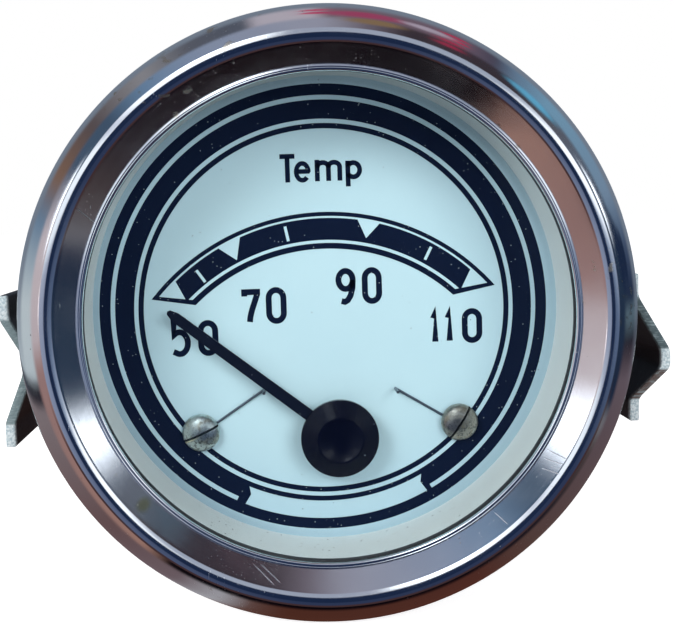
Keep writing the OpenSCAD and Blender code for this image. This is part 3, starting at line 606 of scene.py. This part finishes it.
for ring_in, ring_out in ((18.90, 19.45), (22.32, 23.47), (19.89, 20.42)):
    ring_part(ring_in, ring_out, 0, 360)
ribbon_left, ribbon_right = 245.3, 298.0   # degrees round the dial
ring_part(20.42, 21.85, ribbon_right + 0.6, ribbon_left + 360 - 1.4)
for foot, side, gap in ((ribbon_left, -1, 2.0), (ribbon_right, 1, 1.0)):
    ribbon_end = ((20.42, 0.4), (21.15, -0.95), (22.4, -0.45), (22.4, gap), (21.80, gap),
                  (20.42, 2.0))
    ribbon_end = [(r, radians(foot - 270 + side * a)) for r, a in ribbon_end]
    patch([(r * sin(a), -r * cos(a)) for r, a in ribbon_end], coats[0] + 0.005, inked)

# The scale: a black arched band inside an outline that narrows to a point at both ends
scale_mid = (0.1, -13.25)


def arch(radius, left, right):
    """An arc of the scale, from the direction of one point to that of another."""
    start, end = (degrees(atan2(z - scale_mid[1], x - scale_mid[0])) for x, z in (left, right))
    return bow(scale_mid, radius, start, end, 90)


band(arch(23.55, (-17.92, 1.68), (18.12, 2.14)), arch(19.72, (-13.27, 0.80), (13.52, 1.11)),
     coats[0], inked)
band(arch(23.12, (-16.9, 1.75), (17.1, 2.2)), arch(20.32, (-13.55, 1.35), (13.75, 1.7)),
     coats[1], white)
band(arch(22.92, (-15.35, 3.45), (15.5, 3.85)), arch(20.64, (-14.45, 1.5), (14.55, 1.85)),
     coats[2], inked)
for mark in (((-10.95, 6.9), (-8.62, 7.98), (-9.02, 5.58)),
             ((3.62, 9.55), (6.15, 9.08), (4.52, 7.42))):
    patch(mark, coats[3], white)
for mark in (((-13.26, 4.67), (-12.40, 3.42)), ((-3.91, 8.91), (-3.60, 7.37)),
             ((11.34, 6.29), (10.66, 4.96))):
    stroke(mark, 0.3, coats[3], white)


# The characters are drawn as strokes in a box one wide and one high, in a plain road-sign hand
def oval(cx, cz, rx, rz, start, end, steps=16):
    return [(cx + rx * across, cz + rz * up) for across, up in bow((0, 0), 1, start, end, steps)]


glyphs = {
    "0": [(oval(0.5, 0.74, 0.5, 0.26, 0, 180) + oval(0.5, 0.26, 0.5, 0.26, 180, 360), True)],
    "5": [([(0.93, 1.0), (0.08, 1.0), (0.08, 0.58)] + oval(0.44, 0.33, 0.56, 0.33, 118, -118, 24)
           + [(0.0, 0.07)], False)],
    "7": [([(0.0, 0.86), (0.0, 1.0), (1.0, 1.0), (1.0, 0.93), (0.78, 0.66), (0.56, 0.40),
            (0.42, 0.18), (0.36, 0.0)], False)],
    "9": [(oval(0.5, 0.71, 0.5, 0.29, 0, 360, 28)[:-1], True),
          ([(1.0, 0.71), (0.97, 0.45), (0.82, 0.20), (0.62, 0.05), (0.42, 0.0), (0.18, 0.03)],
           False)],
    "1": [([(0.0, 0.80), (0.62, 1.0), (0.62, 0.0)], False)],
    "T": [([(-0.24, 1.0), (1.24, 1.0)], False), ([(0.5, 0.96), (0.5, -0.10)], False)],
    "e": [([(0.04, 0.52), (0.97, 0.52)] + oval(0.5, 0.5, 0.5, 0.5, 6, 318, 26), False)],
    "m": [([(0.0, 1.18), (0.0, -0.15)], False),
          ([(0.0, 0.66)] + oval(0.25, 0.72, 0.25, 0.28, 150, 0, 8) + [(0.5, -0.15)], False),
          ([(0.5, 0.66)] + oval(0.75, 0.72, 0.25, 0.28, 150, 0, 8) + [(1.0, -0.15)], False)],
    "p": [([(0.0, 1.15), (0.0, -0.66)], False), (oval(0.46, 0.5, 0.54, 0.5, 152, -152, 24), False)],
}
lettering = (   # character, left, bottom, width, height and stroke of its ink
    ("5", -16.31, -4.35, 2.14, 4.10, 0.62), ("0", -13.41, -4.35, 2.13, 3.78, 0.62),
    ("7", -8.72, -1.25, 1.97, 3.76, 0.62), ("0", -6.19, -1.24, 2.16, 3.87, 0.62),
    ("9", 1.18, 0.50, 2.12, 3.87, 0.62), ("0", 3.94, 0.50, 2.11, 3.87, 0.62),
    ("1", 11.07, -4.09, 0.93, 3.77, 0.66), ("1", 12.61, -4.04, 0.93, 3.70, 0.66),
    ("0", 14.43, -4.05, 2.17, 3.71, 0.62),
    ("T", -4.22, 13.44, 1.55, 2.93, 0.50), ("e", -2.78, 13.39, 1.74, 2.21, 0.48),
    ("m", -0.61, 13.48, 2.84, 2.16, 0.50), ("p", 2.58, 13.57, 1.73, 1.97, 0.50),
)
for letter, left, foot, wide, high, pen in lettering:
    for points, closed in glyphs[letter]:
        line = [(left + pen / 2 + px * (wide - pen), foot + pen / 2 + pz * (high - pen))
                for px, pz in points]
        stroke(line, pen, coats[0], inked, closed)
bmesh.ops.triangulate(bm, faces=[f for f in bm.faces if len(f.verts) > 4])
print_work = piece_of("dial_print", bm, dial_ink, dial_white, sharp=20)
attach(print_work, "case")

# Dial screws and stop wires: two slotted screws with domed heads, nickel worn to the brass,
# clamp the bent ends of the hard steel wires that stop the pointer.
low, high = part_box("dial_screws")
head_r, shank_r, head_h, edge_h, slot_w = (high.z - low.z) / 2 / mm, 1.0, 1.2, 0.3, 0.22
screw_x, screw_z = high.x / mm - head_r, (low.z + high.z) / 2 / mm
screw_sides = (("dial_screw_left", -1, 23, 0.8), ("dial_screw_right", 1, 56, 0.3))
nickel = Finish("screw_nickel")
x, y, z = nickel.axes()
right_hand = nickel.rise(x, -0.005, 0.005)
worn_through = nickel.rise(nickel.noise(0.9, 4), 0.50, 0.66)
stain = nickel.rise(nickel.noise(0.45, 5), 0.52, 0.72)
lower_half = nickel.rise(screw_z * mm - z, -0.0008, 0.0008)
# Dark pitting, denser on the lower half of each head, which also darkens that half as painted
# shade.
pitting_and_lower_shade = nickel.rise(nickel.noise(0.24, 5), 0.50, 0.62) * (0.35 + 0.65 * lower_half)
plate = nickel.blend(right_hand, (0.62, 0.68, 0.65), (0.40, 0.38, 0.33))
plate = nickel.blend(worn_through * 0.5, plate, (0.42, 0.35, 0.22))
plate = nickel.blend(stain * 0.5, plate, (0.20, 0.19, 0.17))
plate = nickel.blend(pitting_and_lower_shade * 0.75, plate, (0.12, 0.12, 0.12))
wide = slot_w * mm
for name, side, lean, wear_and_highlight in screw_sides:
    along = x - side * screw_x * mm
    off = along * sin(radians(lean)) - (z - screw_z * mm) * cos(radians(lean))
    one = right_hand if side > 0 else 1 - right_hand
    # Painted shade: the slot is painted near black.
    painted_slot_shade = 1 - nickel.rise(off.math("ABSOLUTE"), 0.42 * wide, 0.52 * wide)
    plate = nickel.blend(painted_slot_shade * one * 0.95, plate, (0.030, 0.026, 0.020))
    # A bright line below the slot at its left end: worn brass, with a painted highlight where the
    # slot's lower wall catches light from above.
    lower_edge_highlight = (nickel.rise(off, 0.50 * wide, 0.60 * wide)
                  * (1 - nickel.rise(off, 0.9 * wide, 1.5 * wide)))
    near_end = 1 - nickel.rise(along, -0.0008, 0.0006)
    plate = nickel.blend(lower_edge_highlight * near_end * one * wear_and_highlight, plate, (0.90, 0.83, 0.58))
satin = nickel.close(plate, 0.30 + 0.14 * worn_through + 0.15 * stain + 0.1 * pitting_and_lower_shade, 1.0,
                     nickel.bump(nickel.noise(0.14, 4), 0.022))
seat_y = low.y / mm + head_h
edge_y = seat_y - edge_h
section = [(head_r * sin(radians(a)), edge_y - (head_h - edge_h) * cos(radians(a)))
           for a in range(0, 91, 6)]
section += [(head_r, seat_y), (shank_r, seat_y), (shank_r, high.y / mm), (0, high.y / mm)]
screws = []
for name, side, lean, wear_and_highlight in screw_sides:
    bm = bmesh.new()
    lathe(bm, section, 72, (side * screw_x * mm, screw_z * mm))
    blank = piece_of(name + "_blank", bm)
    bm = bmesh.new()
    saw = Matrix.Translation(Vector((side * screw_x, edge_y - 1, screw_z)) * mm)
    saw = saw @ Matrix.Rotation(radians(-lean), 4, "Y") @ Matrix.Diagonal((6 * mm, 2 * mm, wide, 1))
    bmesh.ops.create_cube(bm, size=1, matrix=saw)
    cutter = piece_of(name + "_cutter", bm)
    slotted = blank.modifiers.new("slot", "BOOLEAN")
    slotted.object, slotted.solver = cutter, "EXACT"
    bpy.context.view_layer.update()
    bm = bmesh.new()
    bm.from_mesh(blank.evaluated_get(bpy.context.evaluated_depsgraph_get()).to_mesh())
    for tool_piece in (blank, cutter):
        bpy.data.objects.remove(tool_piece)
    screw = piece_of(name, bm, satin, sharp=40)
    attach(screw, "case")
    screws.append(screw)
for screw in screws:
    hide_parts("dial_screws")
dress(grainy("wire_steel", 0.2, 3, (0.10, 0.12, 0.15), (0.24, 0.27, 0.31), 0.38, metal=1.0,
             depth=0.004), "stop_wires", "spring_washers")

# Pointer: a flat steel blade, sprayed satin black, pressed on the arbor under a turned cap.
# Dust has settled on it.
blade = Finish("pointer_black")
settled = blade.specks(0.4, 0.05, 0.45)
spray = blade.noise(0.08, 3)
satin_black = blade.blend(spray, (0.002, 0.004, 0.012), (0.006, 0.009, 0.020))
dress(blade.close(blade.blend(settled, satin_black, (0.36, 0.42, 0.46)), 0.34 + 0.12 * spray,
                  normal=blade.bump(spray, 0.006), Specular_IOR_Level=0.12), "pointer_arm")

# Hub cap: a low cone of black plastic with fine turned grooves round a flat, slightly
# sunken top.
cap_low, cap_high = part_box("hub_cap")
cap_mid = ((cap_low.x + cap_high.x) / 2, (cap_low.z + cap_high.z) / 2)
cap_r, cap_top, cap_foot = (cap_high.x - cap_low.x) / 2 / mm, cap_low.y / mm, cap_high.y / mm
grooves, groove_deep, top_r, skirt, break_edge = 15, 0.022, 2.45, 0.60, 0.05
skirt_y = cap_foot - skirt
section = [(0, cap_foot), (cap_r - break_edge, cap_foot), (cap_r, cap_foot - break_edge),
           (cap_r, skirt_y + break_edge)]
for i in range(grooves * 4 + 1):
    t = i / (grooves * 4)
    dip = groove_deep * (1 - cos(tau * grooves * t)) / 2
    section.append((cap_r - (cap_r - top_r) * t - dip * 0.7,
                    skirt_y - (skirt_y - cap_top) * t + dip))
section += [(top_r - 0.10, cap_top), (top_r - 0.28, cap_top + 0.03),
            (top_r - 0.40, cap_top + 0.12), (0, cap_top + 0.14)]
bm = bmesh.new()
lathe(bm, section, 200, cap_mid)
gloss = Finish("cap_black")
motes = gloss.specks(0.55, 0.075, 0.20)
cut = gloss.turned(0.04, cap_mid)
ebony = gloss.blend(motes, (0.0015, 0.002, 0.008), (0.40, 0.48, 0.55))
cap_black = gloss.close(ebony, 0.12 + 0.08 * cut + 0.3 * motes, normal=gloss.bump(cut, 0.003),
                        Specular_IOR_Level=0.22)
cap = piece_of("hub_cap_turned", bm, cap_black, sharp=60)
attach(cap, "pointer")
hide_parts("hub_cap")

# Case: a deep-drawn steel cup with a flange for the bezel, zinc plated and gone dull, with
# drawing lines along the barrel and finger marks.
zinc = Finish("case_plate")
drag = zinc.add("ShaderNodeMapping", {"Vector": zinc.spot, "Scale": (1, 0.05, 1)})
lines = zinc.noise(0.35, 3, drag)
marks = zinc.rise(zinc.noise(8, 4), 0.45, 0.70)
coat = zinc.blend(marks, (0.56, 0.57, 0.58), (0.40, 0.405, 0.41))
coat = zinc.blend(zinc.rise(zinc.noise(1.4, 6), 0.62, 0.74) * 0.6, coat, (0.62, 0.62, 0.60))
dress(zinc.close(coat, 0.36 + 0.18 * marks + 0.08 * lines, 0.9, zinc.bump(lines, 0.008)),
      "case_cup")

# Movement: brass plates and posts, a plastic former in two halves with two crossed windings,
# a sintered magnet on the steel arbor, a return magnet and a ceramic resistor.
brass = Finish("movement_brass")
tarnish = brass.rise(brass.noise(2.2, 5), 0.40, 0.70)
dress(brass.close(brass.blend(tarnish, (0.70, 0.53, 0.24), (0.44, 0.31, 0.13)),
                  0.30 + 0.18 * tarnish, 1.0, brass.bump(brass.noise(0.15, 3), 0.004)),
      "front_plate", "back_plate", "movement_posts")
dress(grainy("turned_brass", 0.06, 3, (0.74, 0.58, 0.27), (0.60, 0.44, 0.18), 0.24, 0.1, 1.0,
             0.003), "front_bush", "pivot_screw")
former = Finish("former_plastic")
dress(former.close(former.blend(former.noise(1.6, 4), (0.70, 0.65, 0.50), (0.78, 0.73, 0.58)), 0.5,
                   normal=former.bump(former.noise(0.2, 3), 0.01)), "former_front", "former_back")
copper = Finish("winding_copper")
turns_seen = copper.add("ShaderNodeTexWave", {"Vector": copper.spot, "Scale": 700.0,
                                              "Distortion": 0.6}, "Fac", bands_direction="DIAGONAL")
dress(copper.close(copper.blend(turns_seen, (0.34, 0.13, 0.045), (0.66, 0.31, 0.13)), 0.30, 1.0,
                   copper.bump(turns_seen, 0.03)), "inner_winding", "outer_winding", "coil_leads")
dress(grainy("magnet_ferrite", 0.15, 5, (0.05, 0.048, 0.046), (0.13, 0.125, 0.12), 0.62, 0.15, 0.4,
             0.02), "rotor_magnet", "return_magnet")
dress(grainy("arbor_steel", 0.05, 2, (0.60, 0.61, 0.63), (0.74, 0.75, 0.76), 0.14, 0.1, 1.0),
      "arbor")
dress(grainy("resistor_ceramic", 0.5, 5, (0.70, 0.67, 0.58), (0.80, 0.77, 0.69), 0.75,
             depth=0.03), "series_resistor")

# Bracket: a strap of zinc-plated sheet, pressed to a W at both legs so that it clears the
# bezel, with sheared edges that were deburred. Its plating is painted near black towards the front,
# as painted shade.
deburr = 0.16
bm = bmesh.new()
bm.from_mesh(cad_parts["bracket"].data)
bmesh.ops.remove_doubles(bm, verts=bm.verts, dist=1e-6)
bmesh.ops.dissolve_limit(bm, angle_limit=radians(1), verts=bm.verts, edges=bm.edges)
edges = [e for e in bm.edges if e.calc_face_angle(0) > radians(30)]
bmesh.ops.bevel(bm, geom=edges, offset=deburr * mm, segments=3, profile=0.5, affect="EDGES",
                clamp_overlap=True)
bmesh.ops.triangulate(bm, faces=[f for f in bm.faces if len(f.verts) > 4])

strap = Finish("bracket_zinc")
x, y, z = strap.axes()
spangle = strap.noise(0.45, 5)
mottle = strap.rise(strap.noise(0.22, 4), 0.36, 0.60)
drawn_out = strap.add("ShaderNodeMapping", {"Vector": strap.spot, "Scale": (0.25, 1, 1.6)})
streaks = strap.rise(strap.noise(0.3, 4, drawn_out), 0.48, 0.66)
sheared = 1 - strap.rise(y, 0.0055, 0.0063)
# Painted light and shade on the sheared front edge: its flats are painted near white as if lit, its
# slopes dark and darker on the right leg, and the lower right slope brown as a painted reflection.
right_leg = strap.rise(x, -0.001, 0.001)
middle = right_leg * strap.rise(z, -0.00745, -0.00715) * (1 - strap.rise(z, -0.00525, -0.00495))
lit_flats = middle.math("MAXIMUM", strap.rise(z, 0.0003, 0.0006))
lit_flats = lit_flats.math("MAXIMUM", 1 - strap.rise(z, -0.0105, -0.0102))
brown_reflection_under = right_leg * (1 - strap.rise(z, -0.0074, -0.0070))
shaded_slope = strap.blend(right_leg, (0.22, 0.29, 0.30), (0.10, 0.14, 0.15))
shaded_slope = strap.blend(brown_reflection_under, shaded_slope, (0.13, 0.095, 0.085))
shaded_slope = strap.blend(streaks * 0.55, shaded_slope, (0.42, 0.52, 0.53))
edge_tone = strap.blend(lit_flats, shaded_slope, strap.blend(mottle, (0.50, 0.62, 0.66), (0.84, 0.92, 0.93)))
dark = strap.rise(strap.noise(3.5, 4), 0.38, 0.62)
skin = strap.blend(dark, (0.44, 0.45, 0.46), (0.26, 0.26, 0.27))
# Painted shade: the plating is painted near black towards the front, where the channel lies in
# shade.
painted_channel_shade = 1 - strap.rise(y + 0.004 * spangle, 0.013, 0.030)
skin = strap.blend(painted_channel_shade, skin, (0.045, 0.045, 0.050))
skin = strap.blend(strap.specks(0.5, 0.07, 0.10) * painted_channel_shade * 0.7, skin, (0.30, 0.36, 0.38))
skin = strap.blend(sheared, skin, edge_tone)
bracket_skin = strap.close(skin, 0.36 + 0.20 * spangle, 0.9 - 0.65 * sheared,
                           strap.bump(spangle, 0.02, strap.bump(mottle, 0.03)))
bracket = piece_of("bracket_strap", bm, bracket_skin, sharp=60)
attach(bracket, "clamp")
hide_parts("bracket")


# Studs and terminals: turned rods with a rolled thread of 0.7 mm pitch. The studs are riveted
# to the case back and carry the bracket; the brass terminals stand in fibre insulators.
def open_group(name, body, *sockets):
    """Starts a Geometry Nodes group that adds to a body, and gives its inputs by name."""
    group = bpy.data.node_groups.new(name, "GeometryNodeTree")
    grow = Tree(group)
    for title, kind in ((body, "Geometry"), *sockets, ("Metal", "Material")):
        group.interface.new_socket(title, in_out="INPUT", socket_type="NodeSocket" + kind)
    group.interface.new_socket("Whole", in_out="OUTPUT", socket_type="NodeSocketGeometry")
    given = grow.add("NodeGroupInput", {}).socket.node.outputs
    return grow, {socket.name: Value(grow, socket) for socket in given if socket.name}


def close_group(grow, body, added, metal):
    """Joins what was made to the body, in one metal, and ends the group."""
    joined = grow.add("GeometryNodeJoinGeometry", {})
    for part in (body, added):
        grow.tree.links.new(part.socket, joined.socket.node.inputs[0])
    whole = grow.add("GeometryNodeRealizeInstances", {"Geometry": joined})
    whole = grow.add("GeometryNodeSetMaterial", {"Geometry": whole, "Material": metal})
    grow.add("NodeGroupOutput", {"Whole": whole})
    return grow.tree


def thread_tree():
    """Geometry Nodes: a helical ridge along Y, joined to the core that the modifier stands on."""
    grow, given = open_group("rolled_thread", "Core", ("Root radius", "Float"), ("Ridge", "Float"),
                             ("Length", "Float"), ("Pitch", "Float"), ("Foot", "Vector"))
    helix = grow.add("GeometryNodeCurveSpiral", {
        "Resolution": 28, "Rotations": given["Length"] / given["Pitch"],
        "Start Radius": given["Root radius"], "End Radius": given["Root radius"],
        "Height": given["Length"]})
    tooth = grow.add("GeometryNodeCurvePrimitiveCircle", {
        "Resolution": 4, "Radius": given["Ridge"]}, mode="RADIUS")
    ridge = grow.add("GeometryNodeCurveToMesh", {"Curve": helix, "Profile Curve": tooth,
                                                 "Fill Caps": True})
    ridge = grow.add("GeometryNodeTransform", {"Geometry": ridge, "Rotation": (-pi / 2, 0, 0),
                                               "Translation": given["Foot"]})
    return close_group(grow, given["Core"], ridge, given["Metal"])


def grown(piece, group, **inputs):
    """Runs a Geometry Nodes group on a piece and keeps the result as its plain mesh."""
    modifier = piece.modifiers.new(group.name, "NODES")
    modifier.node_group = group
    for item in group.interface.items_tree:
        if item.in_out == "INPUT" and item.name in inputs:
            modifier[item.identifier] = inputs[item.name]
    bpy.context.view_layer.update()
    made = piece.evaluated_get(bpy.context.evaluated_depsgraph_get())
    mesh = bpy.data.meshes.new_from_object(made)
    piece.modifiers.clear()
    piece.data = mesh
    return piece


def rod_finish(name, light, dark, roughness):
    metal = Finish(name)
    age = metal.rise(metal.noise(1.3, 5), 0.40, 0.68)
    return metal.close(metal.blend(age, light, dark), roughness + 0.18 * age, 1.0,
                       metal.bump(metal.noise(0.12, 3), 0.005))


thread = thread_tree()
plated = rod_finish("plated_steel", (0.66, 0.67, 0.68), (0.42, 0.42, 0.43), 0.24)
yellow = rod_finish("terminal_brass", (0.72, 0.56, 0.25), (0.42, 0.30, 0.12), 0.26)
pitch, ridge, root_r, neck_r = 0.7, 0.3, 1.66, 1.95
shoulders = {   # radius and distance from the foot, up to where the thread starts
    "mounting_studs": ((0, 0), (3.9, 0), (4.0, 0.1), (4.0, 0.9), (neck_r, 0.9), (neck_r, 1.4),
                       (3.4, 1.4), (3.4, 2.0)),
    "terminals": ((0, 0), (3.3, 0), (3.5, 0.2), (3.5, 1.6), (neck_r, 1.6), (neck_r, 3.4)),
}
for node, metal, slot_name, reach in (("mounting_studs", plated, "plated_steel", 4.0),
                                      ("terminals", yellow, "terminal_brass", 3.51)):
    low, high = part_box(node)
    foot, tip = low.y / mm, high.y / mm
    section = [(r, foot + up) for r, up in shoulders[node]]
    start = section[-1][1]
    section += [(root_r, start), (root_r, tip - 0.5), (1.3, tip), (0, tip)]
    sides = []
    for side, rim in ((-1, low.x), (1, high.x)):
        mid = (rim - side * reach * mm, (low.z + high.z) / 2)
        bm = bmesh.new()
        lathe(bm, section, 64, mid)
        rod = piece_of(node + ("_left" if side < 0 else "_right"), bm, metal)
        grown(rod, thread, **{"Root radius": root_r * mm, "Ridge": ridge * mm, "Pitch": pitch * mm,
                              "Length": (tip - start - 0.9) * mm, "Metal": metal,
                              "Foot": (mid[0], (start + 0.35) * mm, mid[1])})
        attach(rod, "case")
        sides.append(rod)
    for rod in sides:
        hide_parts(node)


# Thumb nuts: turned brass with a straight knurl, a chamfer at both ends and a plain collar
# that bears on the spring washer.
def knurl_tree():
    """Geometry Nodes: ridges at even steps round a line along Y, joined to the nut's body."""
    grow, given = open_group("straight_knurl", "Body", ("Radius", "Float"), ("Ridge", "Float"),
                             ("Length", "Float"), ("Count", "Int"), ("Middle", "Vector"))
    lying = (-pi / 2, 0, 0)
    seats = grow.add("GeometryNodeMeshCircle", {"Vertices": given["Count"],
                                                "Radius": given["Radius"]})
    seats = grow.add("GeometryNodeTransform", {"Geometry": seats, "Rotation": lying})
    tooth = grow.add("GeometryNodeMeshCylinder", {"Vertices": 4, "Radius": given["Ridge"],
                                                  "Depth": given["Length"]})
    tooth = grow.add("GeometryNodeTransform", {"Geometry": tooth, "Rotation": lying})
    turn = grow.add("GeometryNodeInputIndex", {}) * tau / given["Count"]
    spin = grow.add("ShaderNodeCombineXYZ", {"Y": turn})
    teeth = grow.add("GeometryNodeInstanceOnPoints", {"Points": seats, "Instance": tooth,
                                                      "Rotation": spin})
    teeth = grow.add("GeometryNodeTransform", {"Geometry": teeth, "Translation": given["Middle"]})
    return close_group(grow, given["Body"], teeth, given["Metal"])


knurl = knurl_tree()
for node, rider in (("thumb_nut_left", "nut_left"), ("thumb_nut_right", "nut_right")):
    low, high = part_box(node)
    mid = ((low.x + high.x) / 2, (low.z + high.z) / 2)
    nut_r, start, end = (high.x - low.x) / 2 / mm, low.y / mm, high.y / mm
    bore, collar_r, core, chamfer, ease = 2.0, nut_r - 1.5, nut_r - 0.42, 0.35, 0.25
    step = start + 1.0   # where the collar ends and the knurled body starts
    section = [(bore, start + ease), (bore + ease, start), (collar_r - 0.15, start),
               (collar_r, start + 0.15), (collar_r, step), (core - chamfer, step),
               (core, step + chamfer), (core, end - chamfer), (core - chamfer, end),
               (bore + ease, end), (bore, end - ease)]
    bm = bmesh.new()
    lathe(bm, section, 96, mid)
    nut = piece_of("knurled_" + rider, bm, yellow)
    length = end - step - 2 * chamfer
    grown(nut, knurl, **{"Radius": core * mm, "Ridge": 0.41 * mm, "Length": length * mm,
                         "Count": 40, "Metal": yellow,
                         "Middle": (mid[0], (step + chamfer + length / 2) * mm, mid[1])})
    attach(nut, rider)
    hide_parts(node)

# Terminal nuts, washers, insulators, pillars and case screws: small bought-in parts, pressed
# and turned, that hold the movement and the terminals to the case back.
dress(yellow, "terminal_nuts", "lamp_contact")
dress(plated, "terminal_washers", "case_pillars", "case_screws")
dress(grainy("insulating_fibre", 0.3, 5, (0.16, 0.060, 0.030), (0.30, 0.125, 0.065), 0.68,
             depth=0.02), "inner_insulators", "outer_insulators")

# Lamp: a sprung holder of plated steel pushed into the case back, with a blade contact and a
# small frosted bulb that lights the ring from behind the dial.
dress(rod_finish("lamp_holder_steel", (0.60, 0.61, 0.62), (0.36, 0.36, 0.37), 0.28), "lamp_holder")
bulb = Finish("lamp_glass")
smoke = bulb.rise(bulb.noise(3.0, 3), 0.40, 0.80)
dress(bulb.close(bulb.blend(smoke, (0.86, 0.86, 0.80), (0.60, 0.58, 0.50)), 0.08 + 0.1 * smoke,
                 Coat_Weight=0.8), "lamp_bulb")
